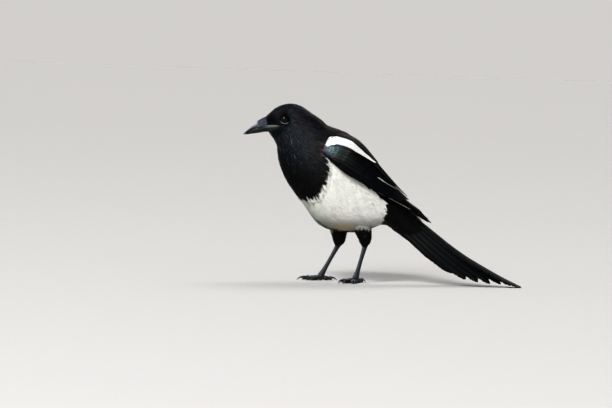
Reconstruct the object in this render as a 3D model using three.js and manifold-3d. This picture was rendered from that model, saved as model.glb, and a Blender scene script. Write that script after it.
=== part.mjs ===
// A life-size Eurasian magpie standing on a flat surface, with the tip of its long tail resting on it.
// Units are millimetres and +Z is up. The bird faces -X, its left side is at -Y, and it stands on Z = 0.
import * as THREE from "three";
import { mergeVertices } from "three/addons/utils/BufferGeometryUtils.js";
import Module from "manifold-3d";

const wasm = await Module();
wasm.setup();

// Clearance between pieces that touch, and round a piece set into a socket
const GAP = 0.3;
const SOCKET = 0.4;
// How much is taken off what rests on the ground, to make it flat there
const SOLE = 0.25;
const DEGREE = Math.PI / 180;
const SIDES = { left: -1, right: 1 };
const ACROSS = new THREE.Vector3(0, 1, 0);

// Body: one row for each station from the face to the tail coverts.
// A row holds the back's x and z, the underside's x and z, the half width, and how far down it is widest.
const BODY = [
  [-157, 207.3, -152, 190.8, 7.6, 0.52],
  [-151.5, 213.9, -149, 187.5, 11.6, 0.5],
  [-140.5, 222.9, -144.5, 181.8, 15.2, 0.47],
  [-126, 227.6, -140, 173.8, 17.6, 0.45],
  [-111, 225.3, -138.3, 163.3, 19.6, 0.45],
  [-97, 216.8, -136, 152.3, 22.5, 0.47],
  [-83, 206.3, -131.5, 140.3, 26, 0.5],
  [-68, 199.8, -124.5, 127.3, 30, 0.52],
  [-50, 192.3, -113.5, 112.3, 34, 0.54],
  [-32, 178.3, -99.5, 94.8, 36, 0.55],
  [-15, 158.8, -81, 73.3, 36.5, 0.55],
  [-1, 139.3, -54, 65.8, 35, 0.54],
  [11, 123.3, -24, 67.3, 31, 0.52],
  [24, 109.3, 0, 75.8, 25, 0.5],
  [37, 96.3, 16, 65.8, 19, 0.5],
  [50, 83.8, 33, 52.8, 13.5, 0.5],
  [66, 70.3, 50, 42.3, 7, 0.5],
];
const BODY_RINGS = 26;
const BODY_POINTS = 22;
// Below 1 the sections of the body are fuller than an ellipse
const BODY_FULLNESS = 0.93;
// Length across the body of the thin walls that part it
const KERF_WIDTH = 150;

// Wing: one row for each station from the bend to the tip of the folded wing.
// A row holds the upper edge's x and z, the lower edge's x and z, and the half widths at those two edges.
const WING = [
  [-75, 178.3, -79.5, 169.8, 24, 30],
  [-60, 187.3, -69.5, 154.8, 19, 36],
  [-37, 179.3, -49, 137.8, 13.5, 39.5],
  [-14.8, 158.6, -22, 120.3, 9, 39.5],
  [5.7, 135.1, 7, 107.6, 6, 34],
  [28, 110.1, 28.5, 98.3, 5, 24],
  [49, 94.9, 47, 88.1, 4.2, 13],
  [66, 80.1, 65, 78.9, 3, 6.5],
];
const WING_THICKNESS = 2.6;
// How much longer the wing's curve from edge to edge is than the straight line between them
const WING_BULGE = 1.1;
// The wing is shaped in equal cells along it and across it, and the same cells part it from the body
const WING_CELLS = { along: 9, across: 6 };
// The wing's solid base ends after this many cells, and only feathers go on to the tip
const WING_BASE_CELLS = 5;
// Height of the base's outer face at the bend and where it ends
const WING_BASE_TOP = [1.9, -0.7];
const VANE_THICKNESS = 0.6;
// The shaft stands this proud of the vane
const SHAFT_RISE = 0.25;

// A feather's half width along its length, as shares of the whole
const FEATHER_OUTLINE = [
  [0, 0.4],
  [0.3, 1],
  [0.62, 1],
  [0.87, 0.76],
  [1, 0.16],
];

// Each tier of wing feathers: how many, root and tip of its first and its last as shares of the wing's length
// and of the way from its upper to its lower edge, half width, and height above the wing's surface.
// Each feather lies one drop below the one before it and its lower edge stands a little proud.
const WING_TIERS = {
  primaries: {
    count: 5, from: [0.42, 0.55, 0.86, 0.25], to: [0.4, 0.92, 1.0, 0.5],
    half: 5.2, lift: 1.1, drop: 0.65,
  },
  secondaries: {
    count: 6, from: [0.3, 0.22, 0.74, 0.26], to: [0.3, 0.82, 0.66, 0.84],
    half: 5.6, lift: 1.2, drop: 0,
  },
  tertials: {
    count: 3, from: [0.28, 0.08, 0.7, 0.04], to: [0.28, 0.32, 0.6, 0.32],
    half: 6.4, lift: 2.4, drop: 0,
  },
  primaryCoverts: {
    count: 2, from: [0.22, 0.81, 0.47, 0.83], to: [0.18, 0.91, 0.4, 0.92],
    half: 4.6, lift: 2.2, drop: 0,
  },
  greaterCoverts: {
    count: 5, from: [0.14, 0.2, 0.43, 0.22], to: [0.12, 0.77, 0.38, 0.79],
    half: 6.2, lift: 2.5, drop: 0,
  },
};
const WING_SHINGLE = 0.15;
// How deep a feather's root is sunk, and the share of its length over which it rises
const WING_SINK = 3;
const ROOT_SHARE = 0.3;
// The wing starts this far along its table
const WING_FRONT = 0.012;
// Its cut into the body reaches this far past its edges, and this high above its inner face
const WING_MARGIN = 0.04;
const WING_CUT_HEIGHT = 22;

// The white shoulder patch of scapular feathers: root and tip of each, as above
const SCAPULARS = [
  [0.04, 0.5, 0.2, 0.49],
  [0.04, 0.37, 0.23, 0.37],
  [0.14, 0.47, 0.31, 0.42],
  [0.16, 0.34, 0.34, 0.28],
  [0.25, 0.32, 0.43, 0.2],
];
const SCAPULAR = { half: 5.2, lift: 6.4, sink: 1.3 };
// Their base, from front to back: place on the wing, and the ways it reaches from and to
const SCAPULAR_BASE = [
  [0.02, 0.32, 0.55],
  [0.36, 0.2, 0.38],
];
const SCAPULAR_BASE_HEIGHTS = [4.9, 5.6];
const SCAPULAR_BASE_CELLS = 4;

// Tail: the ridge of its arc of feathers, from inside its coverts to the ground, as x and z at equal steps
const TAIL_RIDGE = [
  [22, 102],
  [43.8, 86],
  [65.5, 69.8],
  [87.1, 53.6],
  [109, 38],
  [132.2, 23.6],
  [156.6, 11],
  [182.4, 1.2],
];
const TAIL_LENGTH = 189;
// The ridge's slope is read this far on each side of a place, as a share of its length
const TAIL_STEP = 0.03;
// The tail's cross-section is half an ellipse: half width and depth, and the share of them at the root
const TAIL_HALF_WIDTH = 18;
const TAIL_DEPTH = 27;
const TAIL_ROOT_SHARE = 0.7;
// The share of its length over which the tail widens
const TAIL_SPREAD = 1 / 3;
// Each tail feather from the middle out, with its sides: angle round the arc, length, half widths out
// and in, and how many layers it lies below the ridge
const TAIL_FEATHERS = [
  { sides: [-1], angle: 9, length: 189, out: 11, in: 10, layer: 0 },
  { sides: [1], angle: 9, length: 189, out: 11, in: 10, layer: 1 },
  { sides: [-1, 1], angle: 28, length: 159, out: 8, in: 9.5, layer: 2 },
  { sides: [-1, 1], angle: 46, length: 150, out: 7.5, in: 11, layer: 3 },
  { sides: [-1, 1], angle: 62, length: 140, out: 7, in: 11, layer: 4 },
  { sides: [-1, 1], angle: 77, length: 131, out: 6.5, in: 11, layer: 5 },
  { sides: [-1, 1], angle: 92, length: 107, out: 5, in: 11, layer: 6 },
];
const TAIL_LAYER = 0.9;
// The plane where the body ends and the tail's coverts begin: a place on the back, and its lean
const TAIL_CUT = { x: 6.5, z: 102.3, lean: 17 * DEGREE };

// Bill: a row for each station, with the upper edge's x and z, the lower edge's x and z, and the half width
const UPPER_BILL = [
  [-147, 209.8, -146, 199.9, 7.2],
  [-156, 207.7, -156, 198.2, 6.3],
  [-165, 202.7, -165.5, 195.5, 4.9],
  [-173, 197.1, -173.5, 192.5, 3.2],
  [-179.5, 191.3, -179.5, 188.7, 1.7],
  [-183, 186.1, -182.6, 185.5, 0.5],
];
const LOWER_BILL = [
  [-147, 199.4, -147.5, 190.9, 6.8],
  [-156, 197.5, -156, 190.2, 5.8],
  [-165.5, 194.8, -165.5, 188.3, 4.3],
  [-173.5, 191.7, -173, 187.2, 2.7],
  [-179.3, 187.9, -178.5, 186.1, 1.4],
  [-181, 186.3, -180.8, 185.7, 0.5],
];
// How far down each half of the bill is widest
const UPPER_BILL_WIDEST = 0.8;
const LOWER_BILL_WIDEST = 0.15;
const BILL_RINGS = 9;
const BILL_POINTS = 12;

const EYE = { x: -130.6, y: 13, z: 206.3, radius: 6, sides: 14 };
const EYELID = {
  y: 16.8, radius: 5.3, thickness: 0.85, tilt: 12 * DEGREE, turn: 8 * DEGREE, sides: 5, steps: 16,
};

// Bristles that cover the nostrils: root and tip as x, distance from the middle, and z
const BRISTLES = [
  [-149, 2, 210.7, -166, 1.5, 203.5],
  [-149, 5, 208.3, -165.5, 4, 201.5],
  [-149, 7.2, 204.7, -163, 5.6, 199.3],
];
const BRISTLE = { radius: 2.2, taper: 0.85, steps: 3, sides: 5 };

// Legs: hip, calf, heel and foot centres as x, distance from the middle, and z, and the foot's turn outward
const LEGS = {
  left: {
    thigh: [[-33, 16, 89], [-23.2, 16.5, 63], [-21.6, 16, 48.6]],
    foot: [-32.5, 15, 5.5],
    turn: 48 * DEGREE,
  },
  right: {
    thigh: [[-59, 15, 87], [-55.2, 14.5, 60], [-56, 13, 46.4]],
    foot: [-77.3, 12, 5.5],
    turn: -14 * DEGREE,
  },
};
// The feathered thigh's half thickness across, and fore and aft, from hip to heel
const THIGH = [
  [9, 12],
  [9, 11.8],
  [8.6, 10.8],
  [7.4, 9],
  [5.6, 6.8],
  [3.4, 3.9],
];
const THIGH_RINGS = 6;
const THIGH_POINTS = 10;
// The tarsus's half thickness across, and fore and aft, from heel to foot
const TARSUS = [
  [2.4, 3.2],
  [2.1, 2.8],
  [1.9, 2.5],
  [1.8, 2.4],
  [1.8, 2.4],
  [2, 2.6],
  [2.4, 3],
];
const TARSUS_POINTS = 8;
// How far the tarsus reaches up inside the thigh
const TARSUS_TUCK = 4;

// Toes: heading from the middle toe (outward is positive), length to the claw, claw length, and joints
const TOES = [
  { name: "hind", heading: 176 * DEGREE, length: 14, claw: 11, joints: 2 },
  { name: "inner", heading: -28 * DEGREE, length: 17, claw: 8.5, joints: 2 },
  { name: "middle", heading: 0, length: 24, claw: 9, joints: 3 },
  { name: "outer", heading: 32 * DEGREE, length: 18.5, claw: 8, joints: 3 },
];
const TOE = { root: 2.6, tip: 1.9, pad: 0.3, arch: 0.9, points: 6, clawHeight: 3.1 };
const FOOT_HUB = { radius: 4, height: 4, sides: 10 };
const CLAW = { root: 1.35, tip: 0.25, tuck: 1.2, bend: 44 * DEGREE, rings: 4, points: 6 };

// Where the body is parted, as x and z in side view
const PARTINGS = [
  // Head from neck
  [[-88, 225.3], [-97, 209.3], [-119, 181.3], [-148, 162.3]],
  // Neck from breast
  [[-66, 215.3], [-78, 197.3], [-104, 161.3], [-140, 135.3]],
  // Black breast from white belly
  [[-70, 165.3], [-70.5, 145.3], [-75, 127.3], [-82.5, 114.3], [-96, 105.3], [-118, 101.3]],
  // Breast from back, under the front of the wing
  [[-46, 213.3], [-58, 185.3], [-70, 165]],
  // Back from belly, under the wing
  [[-70, 165.3], [-44, 145.3], [-16, 123.3], [14, 105.3], [40, 97.3]],
];
// The middle of each part of the body, as x and z in side view
const BODY_PARTS = {
  head: [-125, 197.3],
  neck: [-107, 178.3],
  breast: [-93, 153.3],
  back: [-22, 149.3],
  belly: [-42, 115.3],
};

const LOOKS = {
  plumage: { color: 0x14161a, roughness: 0.62, metalness: 0 },
  whitePlumage: { color: 0xe9e8e0, roughness: 0.85, metalness: 0 },
  gloss: { color: 0x0c1520, roughness: 0.38, metalness: 0.1 },
  bill: { color: 0x1c1f22, roughness: 0.35, metalness: 0 },
  skin: { color: 0x22262b, roughness: 0.5, metalness: 0 },
  eye: { color: 0x0a0706, roughness: 0.05, metalness: 0 },
};

// Helpers for solids

function toSolid(geometry) {
  geometry.deleteAttribute("normal");
  geometry.deleteAttribute("uv");
  const merged = mergeVertices(geometry, 1e-4);
  const vertProperties = merged.attributes.position.array;
  const triVerts = new Uint32Array(merged.index.array);
  const made = new wasm.Manifold(new wasm.Mesh({ numProp: 3, vertProperties, triVerts }));
  if (made.volume() >= 0) return made;
  triVerts.reverse();
  return new wasm.Manifold(new wasm.Mesh({ numProp: 3, vertProperties, triVerts }));
}

function toGeometry(solid) {
  const { vertProperties, triVerts } = solid.getMesh();
  const geometry = new THREE.BufferGeometry();
  geometry.setAttribute("position", new THREE.BufferAttribute(vertProperties, 3));
  geometry.setIndex(new THREE.BufferAttribute(triVerts, 1));
  return geometry;
}

function fromPoints(points, faces) {
  const geometry = new THREE.BufferGeometry().setFromPoints(points);
  geometry.setIndex(faces);
  return toSolid(geometry);
}

function join(solids) {
  return solids.reduce((all, one) => all.add(one));
}

function largest(solid) {
  return solid.decompose().reduce((best, one) => (one.volume() > best.volume() ? one : best));
}

// A smooth reading of a table at a place from 0 to 1, column by column
function read(rows, place) {
  const last = rows.length - 1;
  const at = Math.min(Math.max(place, 0), 1) * last;
  const i = Math.min(Math.floor(at), last - 1);
  const f = at - i;
  const row = (k) => rows[Math.min(Math.max(k, 0), last)];
  return rows[i].map((_, c) => {
    const [a, b, d, e] = [row(i - 1)[c], row(i)[c], row(i + 1)[c], row(i + 2)[c]];
    const bend = 2 * a - 5 * b + 4 * d - e + f * (3 * b - a - 3 * d + e);
    return b + 0.5 * f * (d - a + f * bend);
  });
}

// A closed solid through rings of points, with flat ends
function loft(rings) {
  const count = rings[0].length;
  const points = rings.flat();
  const faces = [];
  for (let i = 0; i + 1 < rings.length; i++) {
    for (let j = 0; j < count; j++) {
      const a = i * count + j;
      const b = i * count + ((j + 1) % count);
      faces.push(a, b, b + count, a, b + count, a + count);
    }
  }
  for (const end of [0, rings.length - 1]) {
    const middle = new THREE.Vector3();
    rings[end].forEach((p) => middle.addScaledVector(p, 1 / count));
    points.push(middle);
    for (let j = 0; j < count; j++) {
      const edge = [end * count + j, end * count + ((j + 1) % count)];
      if (end === 0) edge.reverse();
      faces.push(edge[0], edge[1], points.length - 1);
    }
  }
  return fromPoints(points, faces);
}

// A closed solid from a grid of [under, over] points, split into triangles alike on both faces
function sheet(grid) {
  const rows = grid.length;
  const columns = grid[0].length;
  const at = (i, j, face) => (i * columns + j) * 2 + face;
  const faces = [];
  const wall = (i, j, k, l) => {
    faces.push(at(i, j, 0), at(k, l, 0), at(k, l, 1));
    faces.push(at(i, j, 0), at(k, l, 1), at(i, j, 1));
  };
  for (let i = 0; i + 1 < rows; i++) {
    for (let j = 0; j + 1 < columns; j++) {
      faces.push(at(i, j, 1), at(i + 1, j, 1), at(i + 1, j + 1, 1));
      faces.push(at(i, j, 1), at(i + 1, j + 1, 1), at(i, j + 1, 1));
      faces.push(at(i, j, 0), at(i + 1, j + 1, 0), at(i + 1, j, 0));
      faces.push(at(i, j, 0), at(i, j + 1, 0), at(i + 1, j + 1, 0));
    }
  }
  for (let i = 0; i + 1 < rows; i++) {
    wall(i, 0, i + 1, 0);
    wall(i + 1, columns - 1, i, columns - 1);
  }
  for (let j = 0; j + 1 < columns; j++) {
    wall(0, j + 1, 0, j);
    wall(rows - 1, j, rows - 1, j + 1);
  }
  return fromPoints(grid.flat(2), faces);
}

// A tube along a path, with radii along `across` and square to it at each point, grown on every side
function tube(path, radii, across, sides, grow = 0) {
  const last = path.length - 1;
  const rings = path.map((point, i) => {
    const along = path[Math.min(i + 1, last)].clone().sub(path[Math.max(i - 1, 0)]).normalize();
    const wide = across.clone().addScaledVector(along, -across.dot(along)).normalize();
    const tall = new THREE.Vector3().crossVectors(along, wide);
    const centre = point.clone();
    if (i === 0) centre.addScaledVector(along, -grow);
    if (i === last) centre.addScaledVector(along, grow);
    const [halfWide, halfTall] = radii[i].map((radius) => radius + grow);
    return circle(sides).map(([c, s]) =>
      centre.clone().addScaledVector(wide, halfWide * c).addScaledVector(tall, halfTall * s));
  });
  return loft(rings);
}

function circle(sides) {
  return Array.from({ length: sides }, (_, j) => {
    const turn = (j / sides) * 2 * Math.PI;
    return [Math.cos(turn), Math.sin(turn)];
  });
}

function steps(count) {
  return Array.from({ length: count + 1 }, (_, i) => i / count);
}

function mix(a, b, share) {
  return a + (b - a) * share;
}

// Body

// A point of the body's skin: place from face to tail, and turn from the back round the left side
function bodyPoint(place, turn) {
  const [backX, backZ, underX, underZ, half, widest] = read(BODY, place);
  const c = Math.cos(turn);
  const s = Math.sin(turn);
  const depth = c > 0 ? widest * (1 - c) : widest - (1 - widest) * c;
  const out = -half * Math.sign(s) * Math.abs(s) ** BODY_FULLNESS;
  return new THREE.Vector3(mix(backX, underX, depth), out, mix(backZ, underZ, depth));
}

function makeBody() {
  const turns = steps(BODY_POINTS).slice(0, -1).map((share) => share * 2 * Math.PI);
  return loft(steps(BODY_RINGS).map((place) => turns.map((turn) => bodyPoint(place, turn))));
}

// A thin wall along a line in side view, right through the body
function kerf(line) {
  const cuts = line.slice(1).map(([x, z], i) => {
    const [fromX, fromZ] = line[i];
    const run = Math.hypot(x - fromX, z - fromZ);
    const wall = new THREE.BoxGeometry(run + GAP, KERF_WIDTH, GAP);
    wall.rotateY(-Math.atan2(z - fromZ, x - fromX));
    wall.translate((x + fromX) / 2, 0, (z + fromZ) / 2);
    return toSolid(wall);
  });
  return join(cuts);
}

// Wing

// A point above the folded wing's surface: place from bend to tip, way from upper to lower edge, and height
function wingPoint(side, place, way, lift) {
  const flat = (u, v) => {
    const [upX, upZ, lowX, lowZ, upY, lowY] = read(WING, u);
    const turn = (v * Math.PI) / 2;
    const drop = 1 - Math.cos(turn);
    const out = mix(upY, lowY, Math.sin(turn));
    return new THREE.Vector3(mix(upX, lowX, drop), side * out, mix(upZ, lowZ, drop));
  };
  const step = 0.01;
  const at = Math.min(Math.max(place, step), 1 - step);
  const along = flat(at + step, way).sub(flat(at - step, way));
  const down = flat(at, way + step).sub(flat(at, way - step));
  const out = new THREE.Vector3().crossVectors(along, down).normalize();
  return flat(place, way).addScaledVector(out, side * lift);
}

// The wing's width from edge to edge at a place along it
function wingWidth(place) {
  const [upX, upZ, lowX, lowZ, upY, lowY] = read(WING, place);
  return WING_BULGE * Math.hypot(upX - lowX, upZ - lowZ, upY - lowY);
}

// A plate that follows the wing's surface over these places and ways, between two heights
function wingPlate(side, places, ways, low, high) {
  const column = (place, way) => [low, high(place)].map((height) => wingPoint(side, place, way, height));
  return sheet(places.map((place) => ways.map((way) => column(place, way))));
}

function wingVane(side, [rootPlace, rootWay, tipPlace, tipWay], { half, lift, sink }) {
  return sheet(FEATHER_OUTLINE.map(([share, wide]) => {
    const place = mix(rootPlace, tipPlace, share);
    const way = mix(rootWay, tipWay, share);
    const sunk = lift - sink * Math.max(0, 1 - share / ROOT_SHARE);
    return [-1, 1].map((edge) => {
      const across = way + (edge * half * wide) / wingWidth(place);
      const low = sunk + edge * half * wide * WING_SHINGLE;
      return [wingPoint(side, place, across, low), wingPoint(side, place, across, low + VANE_THICKNESS)];
    });
  }));
}

function makeWing(side) {
  const places = steps(WING_CELLS.along).slice(0, WING_BASE_CELLS + 1);
  // The body's cut starts a little ahead of the wing
  places[0] = WING_FRONT;
  const top = (place) => mix(...WING_BASE_TOP, (place * WING_CELLS.along) / WING_BASE_CELLS);
  const base = wingPlate(side, places, steps(WING_CELLS.across), -WING_THICKNESS, top);
  const vanes = Object.values(WING_TIERS).flatMap((tier) =>
    steps(tier.count - 1).map((share, i) => {
      const ends = tier.from.map((value, k) => mix(value, tier.to[k], share));
      return wingVane(side, ends, { ...tier, lift: tier.lift - i * tier.drop, sink: WING_SINK });
    }));
  return join([base, ...vanes]);
}

function makeScapulars(side) {
  const [front, back] = SCAPULAR_BASE;
  const plate = sheet(steps(SCAPULAR_BASE_CELLS).map((along) => {
    const [place, ...ways] = front.map((value, k) => mix(value, back[k], along));
    return ways.map((way) => SCAPULAR_BASE_HEIGHTS.map((height) => wingPoint(side, place, way, height)));
  }));
  const vanes = SCAPULARS.map((ends) => wingVane(side, ends, SCAPULAR));
  return join([plate, ...vanes]);
}

// Everything outside the wing's inner face, to cut the body back to it
function wingClearance(side) {
  const ways = [-WING_MARGIN, ...steps(WING_CELLS.across), 1 + WING_MARGIN];
  return wingPlate(side, steps(WING_CELLS.along), ways, -WING_THICKNESS - GAP, () => WING_CUT_HEIGHT);
}

// Tail

// A point above the tail's surface: distance from the root, turn round the arc from the ridge, and height
function tailPoint(distance, turn, lift) {
  const place = distance / TAIL_LENGTH;
  const [x, z] = read(TAIL_RIDGE, place);
  const [backX, backZ] = read(TAIL_RIDGE, place - TAIL_STEP);
  const [aheadX, aheadZ] = read(TAIL_RIDGE, place + TAIL_STEP);
  const slope = Math.atan2(backZ - aheadZ, aheadX - backX);
  const share = mix(TAIL_ROOT_SHARE, 1, Math.min(1, place / TAIL_SPREAD));
  const half = TAIL_HALF_WIDTH * share + lift;
  const depth = TAIL_DEPTH * share + lift;
  const down = TAIL_DEPTH * share - depth * Math.cos(turn);
  return new THREE.Vector3(x - Math.sin(slope) * down, half * Math.sin(turn), z - Math.cos(slope) * down);
}

// How high a feather lies where the ones below it rest on the ground
function groundUnder(layer, distance) {
  const below = TAIL_FEATHERS.filter((feather) => feather.layer > layer && feather.length > distance);
  return below.length * TAIL_LAYER;
}

function tailVane(side, { angle, length, out, in: inner, layer }) {
  const lift = -layer * TAIL_LAYER;
  return sheet(FEATHER_OUTLINE.map(([share, wide]) => {
    const distance = length * share;
    const floor = groundUnder(layer, distance);
    return [-inner, 0, out].map((edge) => {
      const turn = side * (angle * DEGREE + (2 * edge * wide) / (TAIL_HALF_WIDTH + TAIL_DEPTH));
      const low = tailPoint(distance, turn, lift);
      const high = tailPoint(distance, turn, lift + VANE_THICKNESS + (edge ? 0 : SHAFT_RISE));
      low.z = Math.max(low.z, floor - SOLE);
      high.z = Math.max(high.z, floor + VANE_THICKNESS - SOLE);
      return [low, high];
    });
  }));
}

function makeTail(coverts) {
  const vanes = TAIL_FEATHERS.flatMap((feather) => feather.sides.map((side) => tailVane(side, feather)));
  return join([coverts, ...vanes]).trimByPlane([0, 0, 1], 0);
}

// Head

function billSolid(rows, widest, grow) {
  return loft(steps(BILL_RINGS).map((place) => {
    const [topX, topZ, lowX, lowZ, half] = read(rows, place);
    const back = place === 0 ? grow : 0;
    return circle(BILL_POINTS).map(([c, s]) => {
      const depth = c > 0 ? widest * (1 - c) : widest - (1 - widest) * c;
      const z = mix(topZ + grow, lowZ - grow, depth);
      return new THREE.Vector3(mix(topX, lowX, depth) + back, (half + grow) * s, z);
    });
  }));
}

function sphere(x, y, z, radius, sides) {
  return toSolid(new THREE.SphereGeometry(radius, sides, sides / 2).translate(x, y, z));
}

function eyelid(side) {
  const ring = new THREE.TorusGeometry(EYELID.radius, EYELID.thickness, EYELID.sides, EYELID.steps);
  ring.rotateX(Math.PI / 2 + side * EYELID.tilt);
  ring.rotateZ(side * EYELID.turn);
  ring.translate(EYE.x, side * EYELID.y, EYE.z);
  return toSolid(ring);
}

function bristle(side, [rootX, rootY, rootZ, tipX, tipY, tipZ]) {
  const root = new THREE.Vector3(rootX, side * rootY, rootZ);
  const tip = new THREE.Vector3(tipX, side * tipY, tipZ);
  const shares = steps(BRISTLE.steps);
  const path = shares.map((share) => root.clone().lerp(tip, share));
  const radii = shares.map((share) => Array(2).fill(BRISTLE.radius * (1 - BRISTLE.taper * share ** 2)));
  return tube(path, radii, ACROSS, BRISTLE.sides);
}

function makeHead(head, sockets) {
  const sides = Object.values(SIDES);
  const lids = sides.map(eyelid);
  const bristles = sides.flatMap((side) => BRISTLES.map((ends) => bristle(side, ends)));
  return join([head, ...lids, ...bristles]).subtract(join(sockets));
}

// Legs

function legPoint(side, [x, y, z]) {
  return new THREE.Vector3(x, side * y, z);
}

function makeThigh(side, { thigh }, grow) {
  const path = steps(THIGH_RINGS).map((share) => legPoint(side, read(thigh, share)));
  const radii = steps(THIGH_RINGS).map((share) => read(THIGH, share));
  return tube(path, radii, ACROSS, THIGH_POINTS, grow);
}

function makeTarsus(side, { thigh, foot }, grow) {
  const end = legPoint(side, foot);
  const top = legPoint(side, thigh[2]);
  top.addScaledVector(top.clone().sub(end).normalize(), TARSUS_TUCK);
  const path = steps(TARSUS.length - 1).map((share) => top.clone().lerp(end, share));
  return tube(path, TARSUS, ACROSS, TARSUS_POINTS, grow);
}

// The toe's root, its heading and the end where its claw begins
function toeFrame(side, { foot, turn }, { heading, length }) {
  const way = turn + heading;
  const ahead = new THREE.Vector3(-Math.cos(way), side * Math.sin(way), 0);
  const root = legPoint(side, [foot[0], foot[1], 0]);
  const across = new THREE.Vector3(0, 0, 1).cross(ahead);
  return { ahead, root, across, end: root.clone().addScaledVector(ahead, length) };
}

function makeToe(side, leg, toe) {
  const { ahead, root, across } = toeFrame(side, leg, toe);
  const path = [];
  const radii = [];
  for (const share of steps(2 * toe.joints)) {
    const bump = Math.cos(2 * Math.PI * toe.joints * share);
    const radius = mix(TOE.root, TOE.tip, share) + TOE.pad * bump;
    const centre = root.clone().addScaledVector(ahead, toe.length * share);
    const arch = TOE.arch * (1 - bump) / 2;
    const rise = FOOT_HUB.height * (1 - share) ** 4 / 2;
    const low = radius * Math.cos(Math.PI / TOE.points) - SOLE;
    centre.z = mix(low + arch + rise, TOE.clawHeight, share ** 6);
    path.push(centre);
    radii.push([radius, radius]);
  }
  return tube(path, radii, across, TOE.points);
}

function makeFoot(side, leg) {
  const hub = sphere(leg.foot[0], side * leg.foot[1], FOOT_HUB.height, FOOT_HUB.radius, FOOT_HUB.sides);
  const toes = TOES.map((toe) => makeToe(side, leg, toe));
  const sockets = TOES.map((toe) => makeClaw(side, leg, toe, SOCKET));
  const whole = join([hub, ...toes]).subtract(join([makeTarsus(side, leg, SOCKET), ...sockets]));
  return whole.trimByPlane([0, 0, 1], 0);
}

function makeClaw(side, leg, toe, grow) {
  const { ahead, across, end } = toeFrame(side, leg, toe);
  const centre = end.clone().addScaledVector(ahead, -CLAW.tuck);
  centre.z = TOE.clawHeight;
  const path = [];
  const radii = [];
  const step = toe.claw / CLAW.rings;
  for (const share of steps(CLAW.rings)) {
    path.push(centre.clone());
    radii.push(Array(2).fill(mix(CLAW.root, CLAW.tip, share)));
    const dip = CLAW.bend * (share + 0.5 / CLAW.rings);
    centre.addScaledVector(ahead, step * Math.cos(dip));
    centre.z -= step * Math.sin(dip);
  }
  return tube(path, radii, across, CLAW.points, grow).trimByPlane([0, 0, 1], 0);
}

// Assembly

const bird = new THREE.Group();

function addNode(name, solid, look) {
  const mesh = new THREE.Mesh(toGeometry(largest(solid)), new THREE.MeshStandardMaterial(LOOKS[look]));
  mesh.name = name;
  bird.add(mesh);
}

const tailWay = [Math.cos(TAIL_CUT.lean), 0, -Math.sin(TAIL_CUT.lean)];
const tailOffset = TAIL_CUT.x * tailWay[0] + TAIL_CUT.z * tailWay[2];
const [covertsWhole, trunkWhole] = makeBody().splitByPlane(tailWay, tailOffset);
const coverts = covertsWhole.trimByPlane(tailWay, tailOffset + GAP);

const wingCuts = Object.values(SIDES).map(wingClearance);
const thighs = Object.entries(LEGS).map(([name, leg]) => makeThigh(SIDES[name], leg, SOCKET));
const partings = PARTINGS.map(kerf);
const trunk = trunkWhole.subtract(join([...wingCuts, ...thighs, ...partings]));
const upperBill = (grow) => billSolid(UPPER_BILL, UPPER_BILL_WIDEST, grow);
const lowerBill = (grow) => billSolid(LOWER_BILL, LOWER_BILL_WIDEST, grow);

const eyeball = (side, grow) => sphere(EYE.x, side * EYE.y, EYE.z, EYE.radius + grow, EYE.sides);
const eyeSockets = Object.values(SIDES).map((side) => eyeball(side, SOCKET));
const headSockets = [upperBill(SOCKET), lowerBill(SOCKET), ...eyeSockets];

const bodyParts = trunk.decompose();
for (const [name, [x, z]] of Object.entries(BODY_PARTS)) {
  const away = (solid) => {
    const { min, max } = solid.boundingBox();
    return Math.hypot((min[0] + max[0]) / 2 - x, (min[2] + max[2]) / 2 - z);
  };
  const part = bodyParts.reduce((best, one) => (away(one) < away(best) ? one : best));
  const whole = name === "head" ? makeHead(part, headSockets) : part;
  addNode(name, whole, name === "belly" ? "whitePlumage" : "plumage");
}
addNode("bill_upper", upperBill(0), "bill");
addNode("bill_lower", lowerBill(0), "bill");
addNode("tail", makeTail(coverts.subtract(join(wingCuts))), "gloss");

for (const [name, side] of Object.entries(SIDES)) {
  const leg = LEGS[name];
  addNode(`${name}_eye`, eyeball(side, 0), "eye");
  addNode(`${name}_wing`, makeWing(side), "gloss");
  addNode(`${name}_scapulars`, makeScapulars(side), "whitePlumage");
  addNode(`${name}_thigh`, makeThigh(side, leg, 0).subtract(makeTarsus(side, leg, SOCKET)), "plumage");
  addNode(`${name}_tarsus`, makeTarsus(side, leg, 0), "skin");
  addNode(`${name}_foot`, makeFoot(side, leg), "skin");
  for (const toe of TOES) addNode(`${name}_${toe.name}_claw`, makeClaw(side, leg, toe, 0), "bill");
}

// The origin is on the ground, below the middle of the bird's box
const middle = new THREE.Box3().setFromObject(bird).getCenter(new THREE.Vector3());
bird.position.set(-middle.x, -middle.y, 0);

export default bird;
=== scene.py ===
"""A life-size Eurasian magpie, dressed in feathers, scales and horn around its solid model.

Shapes are worked out in millimetres in the bird's own frame and written in metres. The bird faces -X, its
left side is at -Y and it stands on Z = 0. Every feather grows on a surface, a function of two shares (u, v),
where u runs the way that the feathers lie. Colours are linear, from 0 to 1.
"""

import math

import bpy
import numpy as np
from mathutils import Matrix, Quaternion, Vector


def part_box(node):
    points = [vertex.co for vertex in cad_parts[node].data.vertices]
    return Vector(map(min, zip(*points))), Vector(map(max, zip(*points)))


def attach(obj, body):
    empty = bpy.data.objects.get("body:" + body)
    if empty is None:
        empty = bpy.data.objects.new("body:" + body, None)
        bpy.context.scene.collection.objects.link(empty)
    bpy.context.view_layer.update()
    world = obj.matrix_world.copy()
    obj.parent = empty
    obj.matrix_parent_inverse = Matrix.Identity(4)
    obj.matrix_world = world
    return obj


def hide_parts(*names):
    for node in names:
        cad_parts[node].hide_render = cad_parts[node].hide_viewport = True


MM = 0.001
SEED = 11
SIDES = {"left": -1, "right": 1}

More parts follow.
